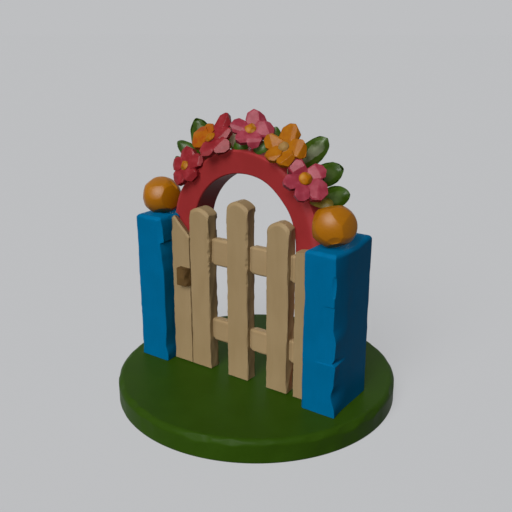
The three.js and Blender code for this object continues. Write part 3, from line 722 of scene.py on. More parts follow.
for edge, face, depth in ARCH_ARRISES:  # outer or inner, front or back, and how deep it is eased
    normal = (edge * out + [0, face, 0]) / math.sqrt(2)
    front = arch_low[1] if face < 0 else arch_high[1]
    corner = line + edge * out * ARCH_WIDTH / 2 + [0, 1, 0] * (front - line[:, 1:2])
    corner = corner + out * (swell if edge > 0 else -thicker)[:, None]
    height = ((arch.points - corner[:, None]) * normal[:, None]).sum(-1)
    blade = -depth * np.interp(np.arange(len(line)), knots, draw.uniform(0.7, 1.2, len(knots)))
    arch.press(blade[:, None], height, normal[:, None], True)
BEVEL_SLOPE = 0.38  # of the broad cut along the front's outer edge, on the right
BEVEL_WIDTH = 5
normal = BEVEL_SLOPE * out - [0, 1, 0]
normal = normal / np.linalg.norm(normal, axis=1)[:, None]
bevel_from = ARCH_WIDTH / 2 + 0.5 - BEVEL_WIDTH * eased(lean, [-90, 92, 150, 270], [0, 0, 1, 1])
edge_line = line + bevel_from[:, None] * out + [0, 1, 0] * (arch_low[1] - line[:, 1:2])
height = ((arch.points - edge_line[:, None]) * normal[:, None]).sum(-1)
arch.press(0, height, normal[:, None], height > 0)
# Its pale at the cuts is partly rubbed paint and partly a painted highlight along the eased edges
# and along the broad bevel on the right.
arch_paint = paint(
    "red_paint", (137, 42, 43), (132, 40, 40), (156, 62, 64),
    roughness=0.45, gloss=0.05, streak=(4, 1, 4), pale_at_cuts=0.45, seed=13,
)
add_piece("arch_carved", closed_mesh([arch]), "frame", arch_paint, ["arch"])


# The pickets: five flat laths with round tops, whittled from bare wood. The outer two are the
# gate's stiles, and each top has a broad cut round its front edge.


def bare_wood(name, light, dark, grain, seed=0.0, roughness=0.62):
    """Planed bare wood: fine streaks along an axis, broad shade changes, and a dry surface."""
    finish = Finish(name, roughness, gloss=0.08)
    with_grain = np.eye(3)[grain]
    lines = finish.noise(0.8, 1 + 29 * with_grain, detail=4, seed=seed)
    broad = finish.noise(9, 1 + 2 * with_grain, detail=2, seed=seed + 2)
    fine = finish.noise(0.3, detail=1, seed=seed + 5)
    tone = finish.step(lines * 0.2 + broad * 0.8, 0.3, 0.7)
    finish.colour(finish.blend(tone, dark, light))
    finish.roughness(lines * 0.12 + (roughness - 0.06))
    finish.relief(lines * 0.35 + fine * 0.3 + broad * 0.8, millimetres=0.06)
    return finish.material


PICKETS = {
    "latch_stile": dict(crown_at=0.28, left_drop=2.4, right_drop=9.1),
    "left_picket": dict(crown_at=0.4615, left_drop=3.6, right_drop=4.0, stouter=1.7),
    "centre_picket": dict(crown_at=0.458, left_drop=3.9, right_drop=4.1, stouter=1.7, taller=0.7),
    "right_picket": dict(crown_at=0.549, left_drop=4.6, right_drop=3.8),
    "hinge_stile": dict(crown_at=0.676, left_drop=3.6, right_drop=1.0),
}
ROUNDNESS = 1.65  # n of the curve from a picket's shoulder to its crown
TOP_CUT = 1.6  # width of the cut round a picket's top
SIDE_CUT = 0.35  # and along its sides
CUT_SLOPE = 0.72
SNUG_WIDTH = 1.2  # how far in from its side a lath swells towards its neighbour


def picket(node, crown_at, left_drop, right_drop, seed, stouter=0.0, taller=0.0):
    """A lath as rungs across it, from its foot to its crown.

    A rung's end is on the side while it is below the shoulder. Above it, with n the roundness,
    x = side + run * (1 - (1 - climb^n)^(1 / n)), up to the crown. Its front and back draw in near
    the outline by CUT_SLOPE * (cut width - distance), the back by 0.8 times that.
    """
    low, high = span(node)
    high[2] += taller
    crown = low[0] + (high[0] - low[0]) * crown_at
    lowest = high[2] - max(left_drop, right_drop)
    straight = np.linspace(low[2], lowest, int((lowest - low[2]) / 0.6))
    dome = high[2] - (high[2] - lowest) * np.cos(np.linspace(0, math.pi / 2, 30)[1:]) ** 1.8
    z = np.concatenate([straight, dome])[:, None]
    climb = [np.clip((z - high[2] + drop) / drop, 0, 1) for drop in (left_drop, right_drop)]
    share = [1 - (1 - up**ROUNDNESS) ** (1 / ROUNDNESS) for up in climb]
    left = low[0] + (crown - low[0]) * share[0]
    right = high[0] - (high[0] - crown) * share[1]
    across = np.sin(np.linspace(-1, 1, 34) * math.pi / 2)
    x = (left + right) / 2 + (right - left) / 2 * across
    foot_line = np.full(40, low[2] + SIDE_CUT - TOP_CUT * 0.9)
    edge = np.concatenate([
        np.concatenate([left, z], -1), np.concatenate([right, z], -1),
        np.stack([np.linspace(low[0], high[0], 40), foot_line], -1),
    ])
    flat = np.broadcast_to(z, x.shape)
    distance = np.sqrt(((np.stack([x, flat], -1)[:, :, None] - edge) ** 2).sum(-1)).min(-1)
    height = np.clip((z - high[2] + max(left_drop, right_drop, 5) + 2) / 4, 0, 1)
    cut = SIDE_CUT + (TOP_CUT - SIDE_CUT) * height**2 * (3 - 2 * height)
    draw_in = CUT_SLOPE * np.clip(cut - distance, 0, None)
    front = low[1] + draw_in
    back = high[1] - draw_in * 0.8 + stouter * (0.35 + 0.65 * (z - low[2]) / (high[2] - low[2]))
    wall = np.linspace(0, 1, 12)[1:-1]
    right_wall = front[:, -1:] + (back[:, -1:] - front[:, -1:]) * wall
    left_wall = back[:, :1] + (front[:, :1] - back[:, :1]) * wall
    rise = np.broadcast_to(z, right_wall.shape)
    lath = Carving(np.concatenate([
        np.stack([x, front, flat], -1),
        np.stack([np.broadcast_to(right, rise.shape), right_wall, rise], -1),
        np.stack([x[:, ::-1], back[:, ::-1], flat], -1),
        np.stack([np.broadcast_to(left, rise.shape), left_wall, rise], -1),
    ], axis=1))
    draw = np.random.default_rng(seed)
    for arris in ARRISES:
        corner = corner_of(low, high, arris)
        foot, head = np.array([*corner, low[2] + 1]), np.array([*corner, high[2] - 4])
        facing = (arris[0], arris[1] * 0.8, 0)
        lath.pare(foot, head, facing, draw, spacing=9, depth=0.62, slant=0.5)
        lath.pare(foot, head, facing, draw, spacing=4, depth=0.5, slant=0.5)
    for height in draw.uniform(66, high[2] - 8, 7 if stouter else 0):
        spot = np.array([high[0] - 0.2, low[1] + 0.2, height])
        facing = (1, -0.9, draw.uniform(-0.4, 0.4))
        lath.cut(spot, facing, UP, draw.uniform(1, 2.4), draw.uniform(0.5, 0.8))
    for side, sideways in ((low[0], -1), (high[0], 1)):
        for height in np.arange(low[2] + 5, high[2] - 5, 6):
            inward = draw.uniform(low[1] + 1, high[1] - 1)
            spot = np.array([side, inward, height + draw.uniform(-2, 2)])
            facing = (sideways, draw.uniform(-0.15, 0.15), 0)
            lath.cut(spot, facing, UP, draw.uniform(5, 9), draw.uniform(0.15, 0.4), width=4)
    for height in np.arange(low[2] + 6, high[2] - 8, 12):
        sideways = draw.uniform(low[0] + 2, high[0] - 2)
        spot = np.array([sideways, low[1], height + draw.uniform(-4, 4)])
        reach, depth = draw.uniform(7, 13), draw.uniform(0.05, 0.13)
        lath.cut(spot, (0, -1, 0), UP, reach, depth, draw.uniform(3, 6))
    return lath


def snug(inset):
    """How far points that lie inset from a lath's side move out towards its close neighbour."""
    inset = np.clip(inset, 0, SNUG_WIDTH)
    return inset * 0.7 * (1 - inset / SNUG_WIDTH)


gate_wood = bare_wood("pale_bare_wood", (146, 125, 92), (139, 118, 85), grain=2, roughness=0.5)
STEM_WIDTH = 2.2
stem_high = bolt_high[0]  # the stem's right side
bore_end = np.array([stem_high + RUN_GAP, *bolt_at[1:]])
slot_low = [
    stem_high - STEM_WIDTH - BOLT_TRAVEL - RUN_GAP, bolt_low[1] - 1,
    bolt_at[2] - STEM_WIDTH / 2 - RUN_GAP,
]
slot_high = [stem_high + RUN_GAP, bolt_at[1], bolt_at[2] + STEM_WIDTH / 2 + RUN_GAP]
gate_holes = {
    "latch_stile": [
        round_hole([bolt_at[0] - 3, *bolt_at[1:]], bore_end, BOLT_RADIUS + RUN_GAP),
        box_hole(slot_low, slot_high),
    ],
    "hinge_stile": [],
}
stile_low, stile_high = span("hinge_stile")
for hinge in HINGES:
    leaf_low, leaf_high = span(hinge + "_hinge_gate_leaf")
    low = [leaf_low[0] - 0.02, stile_low[1] - 1, leaf_low[2] - RUN_GAP]
    high = [stile_high[0] + 1, leaf_high[1] + RUN_GAP, leaf_high[2] + RUN_GAP]
    gate_holes["hinge_stile"].append(box_hole(low, high))
for seed, (node, shape) in enumerate(PICKETS.items()):
    lath = picket(node, **shape, seed=40 + seed)
    low, high = span(node)
    x = lath.points[..., 0]
    if node == "latch_stile":
        slope_top = np.array([low[0] + 2.9, low[1], high[2] - 0.3])
        lath.flat(slope_top, (1, 0.8, 1), depth=0)
        lath.flat(slope_top + [0, 1.3, 0], (0.66, -0.85, 0.66), depth=0)
        lath.points[..., 0] += snug(high[0] - x)
    if node == "left_picket":
        lath.points[..., 0] -= snug(x - low[0])
    if node == "hinge_stile":
        lath.flat(np.array([high[0], low[1], high[2] - 2.7]), (-0.1, 0, 1), depth=0)
    mesh = closed_mesh([lath])
    if node in gate_holes:
        mesh = without(mesh, gate_holes[node])
    add_piece(node + "_whittled", mesh, "gate", gate_wood, [node])


# The rails: two flat bars of the same wood let into the pickets' backs. Each stretch that shows
# between two pickets has its edges rubbed round.
rail_wood = bare_wood(
    "pale_bare_wood_across", (150, 128, 95), (143, 121, 88), grain=0, seed=4, roughness=0.45
)
RAIL_PROUD = 0.15  # behind the pickets' backs
RAIL_PINCH = 0.9  # how far a rail draws in where a picket crosses it
PINCH_RUN = 1.1  # and over what length beside the picket
for seed, node in enumerate(("upper_rail", "lower_rail")):
    low, high = span(node)
    proud = high + [0, RAIL_PROUD, 0]
    rail = squared_block(low, proud, corner=1.3, foot=0.3, top=0.3, axis=0, spacing=0.5)
    x = rail.points[..., 0]
    near = 0
    for name in PICKETS:
        picket_low, picket_high = span(name)
        away = np.maximum(np.maximum(picket_low[0] - x, x - picket_high[0]), 0)
        near = near + np.exp(-((away / PINCH_RUN) ** 2))
    near = np.minimum(near, 1) * RAIL_PINCH
    middle = (low + high) / 2
    upright = (rail.points[..., 2] - middle[2]) / (high[2] - low[2]) * 2
    forward = np.clip((middle[1] - rail.points[..., 1]) / (high[1] - low[1]) * 2, 0, 1)
    rail.points[..., 2] -= upright * near * 0.7
    rail.points[..., 1] += forward * near
    draw = np.random.default_rng(60 + seed)
    for edge, up in ((low[2], -1), (high[2], 1)):
        start, end = [low[0], low[1], edge], [high[0], low[1], edge]
        rail.pare(start, end, (0, -1, up), draw, spacing=7, depth=0.8, slant=0.4)
    mesh = closed_mesh([rail])
    add_piece(node + "_shaped", mesh, "gate", rail_wood, [node])


# The thumb block of the latch: a rough-hewn bit of dark wood on the front of the latch stile,
# glued to the stem of the bolt behind it.
block_low, block_high = span("latch_block")
block_low, block_high = block_low - [0.4, 0, 0.2], block_high + [0.5, 0, -1.3]
block = squared_block(block_low, block_high, corner=0.35, foot=0.3, top=0.3, spacing=0.3)
block.flat(np.array([block_high[0] - 1.4, block_low[1], 64]), (1, -0.4, 0), depth=0)
draw = np.random.default_rng(71)
for sideways, up, depth in ((1, 0.5, 0.9), (1, -1, 0.7), (-1, 1, 0.3), (-1, -0.8, 0.3)):
    facing = (sideways, draw.uniform(-0.7, -0.2), up)
    corner = np.where(np.array([sideways, -1, up]) > 0, block_high, block_low)
    block.flat(corner, facing, depth)
for height, lean, depth in ((67, 0.2, 0.9), (62.5, -0.25, 1.2), (60, 0.1, 0.7)):
    edge = np.array([block_high[0], block_low[1] + 1, height])
    block.cut(edge, (1, -0.9, lean), UP, reach=3.2, depth=depth)
for side, height, facing in (
    (-34, 64, (0.1, -1, 0.15)), (-32, 60.5, (-0.15, -1, -0.1)), (-33.5, 68, (0, -1, 0.4)),
):
    spot = np.array([side, block_low[1], height])
    block.cut(spot, facing, UP, reach=4, depth=0.3, width=2.6)
groove = np.array([block_high[0], (block_low[1] + block_high[1]) / 2 + 0.4, 64])
block.cut(groove, (1, 0, 0), UP, reach=3.4, depth=0.9, width=0.9)
latch_wood = bare_wood("dark_wood", (90, 68, 38), (66, 47, 24), grain=2, seed=8, roughness=0.55)
mesh = closed_mesh([block], smooth_up_to=24)
add_piece("latch_block_hewn", mesh, "latch", latch_wood, ["latch_block"])


# The flowers: five petals each, six on the top red one, cut from thick wood with a few strokes of
# the knife and painted, on a wooden pin with a button head that goes back into the arch.
PETAL_THICKNESS = 3.0
BUTTON_HEIGHT = 2.2
PIN_GAP = 0.3
PIN_RADIUS = 1.4
PIN_LENGTH = 17.0


def laid_out(node):
    """A CAD node's points, their mean, and their axes from the longest to the shortest."""
    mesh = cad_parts[node].data
    points = np.empty(len(mesh.vertices) * 3)
    mesh.vertices.foreach_get("co", points)
    points = np.unique((points.reshape(-1, 3) / MM).round(3), axis=0)
    mean = points.mean(0)
    return points, mean, np.linalg.svd(points - mean, full_matrices=False)[2]


def flower_axes(node, tilt):
    """A flower's middle, the way it faces, and its across and up directions.

    The pin is round, so it faces along the longest axis of the pin's points, towards the end
    where they lie furthest from that axis. A tilt leans it from there towards the camera.
    """
    points, mean, (facing, _, _) = laid_out(node + "_pin")
    low, high = points[(points - mean) @ facing < 0], points[(points - mean) @ facing > 0]
    spread = [np.linalg.norm(np.cross(part - mean, facing), axis=1).max() for part in (low, high)]
    if spread[0] > spread[1]:
        facing = -facing
    along = (points - mean) @ facing
    head = along.max()
    button = points[along > head - BUTTON_HEIGHT * 0.5].mean(0)
    middle = button + facing * (head - BUTTON_HEIGHT - PIN_GAP - (button - mean) @ facing)
    to_camera = unit(np.array(camera.location) / MM - middle)
    facing = unit(facing + tilt * to_camera)
    across = unit(np.cross(UP, facing))
    return middle, facing, across, np.cross(facing, across)


def chip(outline, front, back, soft=0.07):
    """A chip of wood as a grid, from the middle of its front over its edge to its back.

    The outline is the nearest of straight lines (turn in degrees, distance): at an angle a round
    the middle it is at the least distance / cos(a - turn). Front and back are planes
    (height, slope x, slope y), z = height - slope . (x, y). The front is the lowest of its planes,
    -soft log(sum exp(-z / soft)), and the back is flat.
    """
    angle = np.linspace(0, 2 * math.pi, 72, endpoint=False)
    turn, distance = np.array(outline, float).T
    facing = np.cos(angle[:, None] - np.radians(turn))
    radius = np.where(facing > 0.05, distance / np.maximum(facing, 0.05), np.inf).min(1)
    rim = radius[:, None] * np.stack([np.cos(angle), np.sin(angle)], axis=-1)

    def height(planes, spots):
        planes = np.array(planes)
        return planes[:, 0] - spots @ planes[:, 1:].T

    def lowest(spots):
        z = height(front, spots)
        least = z.min(-1)
        return least - soft * np.log(np.exp((least[..., None] - z) / soft).sum(-1))

    share = np.linspace(0.02, 1, 16)[:, None, None]
    top = np.concatenate([share * rim, lowest(share * rim)[..., None]], axis=-1)
    under = np.concatenate([share[::-1] * rim, height([back], share[::-1] * rim)], axis=-1)
    climb = np.linspace(0, 1, 6)[1:-1, None, None]
    wall = top[-1] + (under[0] - top[-1]) * climb
    return Carving(np.concatenate([top, wall, under]))


def petal(turn, reach, sides, lean, folds, draw):
    """One petal in its flower's own axes: a chip that points out along turn.

    Its middle lies at 0.56 of its reach, with its left and right side that far from it. Its front
    falls along lean (slope x, slope y), more so past each fold (turn, distance, steepness), which
    is measured from its middle, and its edge is pared all round.
    """
    centre = reach * 0.56 * np.array(heading(turn))
    end = reach * 0.44
    shoulders = [0.52 * (end + side) * draw.uniform(0.92, 1.08) for side in sides]
    outline = [
        (turn + draw.uniform(-12, 12), end),
        (turn + draw.uniform(40, 52), shoulders[0]), (turn - draw.uniform(40, 52), shoulders[1]),
        (turn + draw.uniform(86, 98), sides[0]), (turn - draw.uniform(86, 98), sides[1]),
        (turn + 140, 0.42 * reach), (turn - 140, 0.42 * reach), (turn + 180, 0.52 * reach),
    ]
    front = [(0.25, *lean)]

    def fall(turn, distance, steepness):
        """The plane that lies steepness * (run - distance) below the main face."""
        x, y = steepness * np.array(heading(turn)) + lean
        front.append((0.25 + steepness * distance, x, y))

    for fold in folds:
        fall(*fold)
    for (edge, distance), width in zip(outline[:5], draw.uniform(0.3, 0.8, 5)):
        fall(edge, distance - width, draw.uniform(0.75, 1.3))
    fall(turn + 180, 0.22 * reach, draw.uniform(0.15, 0.3))
    blade = chip(outline, front, (-PETAL_THICKNESS, *lean))
    blade.points[..., :2] += centre
    blade.points[..., 2] += 0.5
    return blade


def placed(carving, middle, across, up, facing):
    """A carving moved from its own axes to its place on the arch."""
    x, y, z = np.moveaxis(carving.points, -1, 0)
    carving.points = middle + x[..., None] * across + y[..., None] * up + z[..., None] * facing
    return carving


def petal_paint(name, main, deep, pale, seed):
    """Glossy flower paint, a little cloudy, with dry brush strokes that leave it paler."""
    finish = Finish(name, roughness=0.36, gloss=0.13)
    clouds = finish.noise(4, detail=3, seed=seed)
    strokes = finish.noise(0.7, (4, 1, 4), detail=3, seed=seed + 4)
    fine = finish.noise(0.3, detail=1, seed=seed + 7)
    body = finish.blend(finish.step(clouds, 0.35, 0.65), deep, main)
    dry = finish.step(clouds + strokes * 0.5, 0.72, 1.0) * 0.5
    finish.colour(finish.blend(dry, body, pale))
    finish.roughness(strokes * 0.1 + 0.3)
    finish.relief(strokes * 0.4 + fine * 0.2, millimetres=0.03)
    return finish.material


# For each petal: turn, reach, sides, lean and folds. A button has a radius and a height, side_cuts
# scales the depth of the cuts round it, and glint is the way that a bright facet on it faces;
# the paint's pale at that facet's cut is partly a painted highlight.
FLOWERS = {
    "red_flower_left": dict(
        button=(2.8, 1.5), seed=80, tilt=0.3,
        petals={"red": [
            (89, 9.7, (4.9, 4.8), (0.0, -0.05), [(17, 3.5, 0.5), (165, 2.8, 0.3)]),
            (27, 11.2, (3.8, 3.6), (0.08, 0.0), [(3, 3.0, 0.7)]),
            (-44, 9.4, (4.3, 4.0), (0.1, 0.06), [(-42, 1.6, 0.7)]),
            (-110, 10.5, (4.5, 4.5), (-0.05, 0.08), [(-131, 2.0, 0.45)]),
            (177, 9.2, (3.8, 3.7), (-0.05, 0.0), [(-160, 2.0, 0.5)]),
        ]},
    ),
    "red_flower_top": dict(
        button=(2.9, 1.5), seed=81, tilt=0.45, side_cuts=0.6,
        petals={
            "red": [
                (73, 14.6, (3.2, 4.4), (-0.04, -0.1), [(-5, 2.8, 1.1), (165, 2.6, 0.35)]),
                (30, 11.0, (3.4, 3.4), (0.02, 0.06), [(-26, 1.3, 0.42)]),
                (-27, 12.4, (4.3, 4.0), (0.0, 0.04), [(-28, 0.4, 0.42)]),
                (-87, 10.4, (4.1, 4.0), (-0.06, 0.1), [(-60, 2.2, 0.5)]),
            ],
            "amber": [
                (-179, 11.2, (5.6, 5.8), (-0.12, -0.1), [(-60, 2.6, 0.4), (120, 2.4, 0.3)]),
                (128, 9.4, (3.6, 3.2), (-0.14, 0.04), [(60, 1.8, 0.4)]),
            ],
        },
    ),
    "pink_flower_top": dict(
        button=(2.9, 1.5), seed=82, glint=(-0.3, -0.4),
        petals={"pink": [
            (73, 10.1, (4.8, 4.8), (-0.02, -0.25), [(11, 2.0, 0.85)]),
            (-1, 11.4, (4.2, 3.9), (-0.03, -0.23), [(28, 1.9, 0.8)]),
            (-70, 10.2, (4.0, 3.6), (0.05, 0.15), [(-82, 0.4, 0.4), (-82, 1.9, 1.3)]),
            (-125, 9.4, (3.4, 3.2), (0.1, 0.2), [(-81, 2.3, 0.8)]),
            (164, 10.2, (4.0, 3.9), (0.15, 0.08), [(-105, 0.6, 0.36), (-105, 1.9, 0.9)]),
        ]},
    ),
    "orange_flower": dict(
        button=(2.6, 1.3), seed=83, side_cuts=0.35,
        petals={"orange": [
            (80, 12.7, (5.2, 4.2), (-0.12, -0.16), [(0, 1.0, 0.3), (0, 2.7, 1.5)]),
            (-3, 10.8, (4.6, 4.4), (-0.1, -0.16), [(-2, 0.2, 0.28), (-13, 2.3, 1.4)]),
            (-70, 10.2, (4.3, 4.1), (-0.1, 0.1), [(-40, 2.0, 1.0)]),
            (-137, 9.6, (4.0, 3.8), (-0.1, 0.12), [(-73, 2.2, 0.45)]),
            (159, 11.2, (3.8, 3.6), (0.16, -0.2), [(-152, 0.9, 0.42)]),
        ]},
    ),
    "pink_flower_right": dict(
        button=(3.2, 1.9), seed=84, glint=(-0.5, 0.15), side_cuts=0.7,
        petals={"pink": [
            (117, 11.0, (3.6, 3.4), (-0.27, -0.1), [(-67, 0.6, 0.75)]),
            (29, 11.0, (4.1, 4.0), (-0.24, -0.1), [(23, 1.2, 0.5)]),
            (-50, 12.3, (5.4, 4.8), (-0.16, -0.04), [(-11, 1.0, 0.4), (-87, 4.6, 0.5)]),
            (-107, 11.0, (3.6, 3.5), (0.1, 0.12), [(-97, 1.5, 0.5)]),
            (-170, 10.6, (3.8, 3.8), (0.12, 0.12), [(-110, 2.4, 0.42)]),
        ]},
    ),
}
red_petal = petal_paint("red_petal_paint", (128, 32, 38), (118, 26, 31), (138, 50, 56), seed=17)
pink_petal = petal_paint("pink_petal_paint", (142, 52, 66), (131, 42, 56), (152, 72, 84), seed=19)
orange_petal = petal_paint("orange_petal_paint", (148, 89, 0), (140, 80, 0), (154, 96, 14), seed=23)
amber_petal = petal_paint("amber_petal_paint", (148, 80, 0), (142, 62, 4), (152, 90, 10), seed=25)
PETAL_COLOURS = {  # slot and finish
    "red": ("red_petals", red_petal), "pink": ("pink_petals", pink_petal),
    "orange": ("orange_petals", orange_petal), "amber": ("orange_petals", amber_petal),
}
# Paler at the knife cuts: rubbed paint, and on the glint facets partly a painted highlight.
button_paint = paint(
    "yellow_paint", (158, 97, 4), (146, 88, 2), (192, 152, 86), gloss=0.1, pale_at_cuts=0.7, seed=27
)
cream_paint = paint(
    "cream_button_paint", (144, 114, 72), (132, 98, 44), (150, 126, 92),
    gloss=0.08, pale_at_cuts=0.5, seed=29,
)
HEART = [  # radius and height of the lump that a flower's petals grow from
    [0.3, -2.9], [2.6, -2.8], [3.6, -2.0], [3.9, -1.0], [3.4, 0.0], [2.0, 0.4], [0.3, 0.5],
]
PIN = [  # radius and height, up to its head
    [0.2, -PIN_LENGTH], [PIN_RADIUS * 0.9, -PIN_LENGTH], [PIN_RADIUS, 1 - PIN_LENGTH],
    [PIN_RADIUS, 0],
]
for node, plan in FLOWERS.items():
    middle, facing, across, up = flower_axes(node, plan.get("tilt", 0))
    draw = np.random.default_rng(plan["seed"])
    main_colour = next(iter(plan["petals"]))
    for colour, petals in plan["petals"].items():
        blades = [placed(petal(*shape, draw), middle, across, up, facing) for shape in petals]
        if colour == main_colour:
            blades.append(placed(Carving(turned(HEART, columns=30)), middle, across, up, facing))
        mesh = closed_mesh(blades, smooth_up_to=12)
        slot, finish = PETAL_COLOURS[colour]
        add_piece(f"{node}_{colour}_petals_cut", mesh, "frame", finish, [node])

    middle, facing, across, up = flower_axes(node, 0)
    radius, height = plan["button"]
    head = arc((0, 0), 1, 0, 88, steps=9) * [radius, height] + [0, PIN_GAP + 0.2]
    button = Carving(turned(np.concatenate([PIN, [[radius * 0.9, 0.2]], head]), columns=36))
    cuts = [(*plan["glint"], 1.0, 0.45)] if "glint" in plan else []
    for turn in draw.uniform(0, 60) + np.arange(4) * 90:
        depth = draw.uniform(0.3, 0.5) * plan.get("side_cuts", 1)
        cuts.append((*heading(turn), draw.uniform(0.7, 1.3), depth))
    for x, y, z, depth in cuts:
        spot = np.array([0, 0, PIN_GAP + 0.2]) + unit([x, y, z]) * [radius, radius, height]
        button.flat(spot, (x, y, z), depth)
    mesh = closed_mesh([placed(button, middle, across, up, facing)], smooth_up_to=18)
    finish = cream_paint if main_colour == "orange" else button_paint
    add_piece(node + "_pin_turned", mesh, "frame", finish, [node + "_pin"])


# The leaves: thick pointed blades cut from wood, dark green with the middle paler, partly rubbed
# paint and partly a painted sheen, each glued to the arch by its lower end among the flowers.
LEAF_POINT = 1.04  # how sharply a leaf's tip stands out of its ellipse
LEAF_THICKNESS = 1.7
LEAF_FORMS = {  # tip along and across the CAD leaf, half width, and turn about its length
    "leaf_right_upright": ((12.4, -1.4), 5.5, -12),
    "leaf_right_outer": ((10.6, 0.9), 5.6, 0),
    "leaf_right_low": ((9.6, -0.6), 5.0, 0),
    "leaf_left_upright": ((13.4, 0.8), 6.2, -36),
    "leaf_left_outer": ((12.2, 0.8), 4.2, -24),
    "leaf_left_low": ((10.6, -2.6), 3.2, -36),
    "leaf_top_left": ((3.2, -3.2), 3.6, 36),
    "leaf_top_right": ((6.0, 1.8), 3.6, -36),
    "leaf_top_point": ((7.2, -1.4), 3.0, -24),
    "leaf_gap_pale": ((6.0, 0.0), 3.4, -36),
    "leaf_right_shaded": ((8.8, 2.0), 3.6, 24),
    "leaf_back_middle_right": ((4.0, 0.0), 4.0, 0),
}


def leaf(node, seed):
    """A leaf that grows from the root of its CAD node, as a chip bent along the node's middle line.

    With x along the leaf and half sizes a and b its outline is the ellipse with a point: in the
    direction t it reaches sqrt((a cos t)^2 + (b sin t)^2), or LEAF_POINT a cos t where that is
    more. Its front is a low roof pared towards the edge.
    """
    points, mean, (long, wide, thin) = laid_out(node)
    if long @ (mean - [0, 0, arch_centre]) < 0:
        long = -long
    forward = np.array([0, 1.0, 0]) if "back" in node else np.array([0, -1.0, 0.3])
    if thin @ forward < 0:
        thin = -thin
    wide = np.cross(thin, long)
    run, side, high = (points - mean) @ long, (points - mean) @ wide, (points - mean) @ thin
    tip, half_width, turn = LEAF_FORMS.get(node, ((run.max(), 0), np.ptp(side) / 2, 0))
    cosine, sine = heading(turn)
    thin, wide = cosine * thin + sine * wide, cosine * wide - sine * thin
    root = np.array([run.min(), 0])
    half = np.linalg.norm(tip - root) / 2
    along = (tip - root) / (2 * half)
    draw = np.random.default_rng(seed)
    turns = np.arange(36) * 10
    ways = np.stack([np.cos(np.radians(turns)), np.sin(np.radians(turns))], axis=-1)
    reach = np.hypot(half * ways[:, 0], half_width * ways[:, 1])
    reach = np.maximum(reach, LEAF_POINT * half * ways[:, 0]) * draw.uniform(0.97, 1.03, 36)
    outline = list(zip(turns, reach))
    front = [
        (
            LEAF_THICKNESS / 2, draw.uniform(-0.06, 0.06),
            side * math.tan(math.radians(draw.uniform(9, 20))),
        )
        for side in (1, -1)
    ]
    for (turn, distance), (x, y) in zip(outline[::3], ways[::3]):
        slope = math.tan(math.radians(draw.uniform(30, 42)))
        height = slope * (distance - 0.28 * half_width) * draw.uniform(0.94, 1.06)
        front.append((height, slope * x, slope * y))
    blade = chip(outline, front, (-LEAF_THICKNESS / 2, 0.0, 0.0), soft=0.25)
    x, y, z = np.moveaxis(blade.points, -1, 0)
    z = np.maximum(z, -LEAF_THICKNESS / 2)
    # Where the front is paler: rubbed paint and a painted sheen over the middle of the leaf.
    blade.cut_depth_and_sheen = np.clip(1 - (x / half - 0.15) ** 2 - (y / half_width) ** 2, 0, 1) * (z > 0)
    middle = (tip + root) / 2
    x, y = middle[0] + x * along[0] - y * along[1], middle[1] + x * along[1] + y * along[0]
    z = z + np.polyval(np.polyfit(run, high, 2), np.clip(x, run.min(), run.max()))
    blade.points = mean + x[..., None] * long + y[..., None] * wide + z[..., None] * thin
    return blade


def leaf_paint(name, main, deep, pale, seed, middle_paleness=0.3):
    """Glossy leaf paint, a little cloudy, and paler over the middle: rubbed paint and painted
    sheen.
    """
    finish = Finish(name, roughness=0.38, gloss=0.2)
    clouds = finish.noise(5, detail=3, seed=seed)
    strokes = finish.noise(0.7, (3, 1, 3), detail=3, seed=seed + 4)
    body = finish.blend(finish.step(clouds, 0.35, 0.65), deep, main)
    ragged = finish.mark("cut_depth_and_sheen") + (clouds - 0.5) * 1.2 + (strokes - 0.5) * 0.3
    pale_middle = finish.step(ragged, 0.35, 1.1)
    finish.colour(finish.blend(pale_middle * middle_paleness, body, pale))
    finish.roughness(strokes * 0.15 + 0.3)
    finish.relief(strokes * 0.4 + clouds * 0.4, millimetres=0.03)
    return finish.material


# Each leaf's pale middle is partly rubbed paint and partly a painted sheen; the two upright leaves
# get the most of it.
green_leaf = leaf_paint("leaf_paint", (48, 74, 10), (38, 61, 4), (88, 100, 70), seed=33)
sheened_leaf = leaf_paint(
    "painted_sheen_leaf_paint", (56, 80, 16), (44, 66, 8), (122, 130, 104), seed=33, middle_paleness=0.9
)
# A pale grey-olive for two leaves among the flowers: partly dry-brushed paint, partly a painted
# highlight where they catch the light.
pale_highlight_leaf = leaf_paint(
    "pale_painted_highlight_leaf_paint", (146, 136, 112), (122, 114, 88), (156, 146, 124), seed=35
)
# A darker olive for the leaf between the right pink flower and the right ball: painted shade there.
shaded_olive_leaf = leaf_paint("olive_painted_shade_leaf_paint", (86, 74, 14), (74, 62, 10), (98, 88, 36), seed=37)
leaf_finishes = {
    "leaf_gap_pale": pale_highlight_leaf, "leaf_right_front": pale_highlight_leaf, "leaf_right_shaded": shaded_olive_leaf,
    "leaf_left_upright": sheened_leaf, "leaf_right_upright": sheened_leaf,
}
leaves = sorted(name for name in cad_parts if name.startswith("leaf_"))
for seed, node in enumerate(leaves):
    mesh = closed_mesh([leaf(node, 100 + seed)], smooth_up_to=26)
    finish = leaf_finishes.get(node, green_leaf)
    add_piece(node + "_cut", mesh, "frame", finish, [node])


# The hinges: two brass butt hinges between the hinge stile and the right post, dulled with age.
# Their leaves, pins and screws keep their CAD shapes.
brass = Finish("dull_brass", roughness=0.38)
tarnish = brass.noise(2.5, detail=4, seed=41)
scratches = brass.noise(0.25, (1, 1, 12), detail=2, seed=43)
brass.shader.inputs["Metallic"].default_value = 1
brass.colour(brass.blend(brass.step(tarnish, 0.4, 0.62), (96, 74, 36), (150, 118, 58)))
brass.roughness(tarnish * 0.25 + scratches * 0.15 + 0.18)
brass.relief(scratches * 0.6 + tarnish * 0.4, millimetres=0.02)

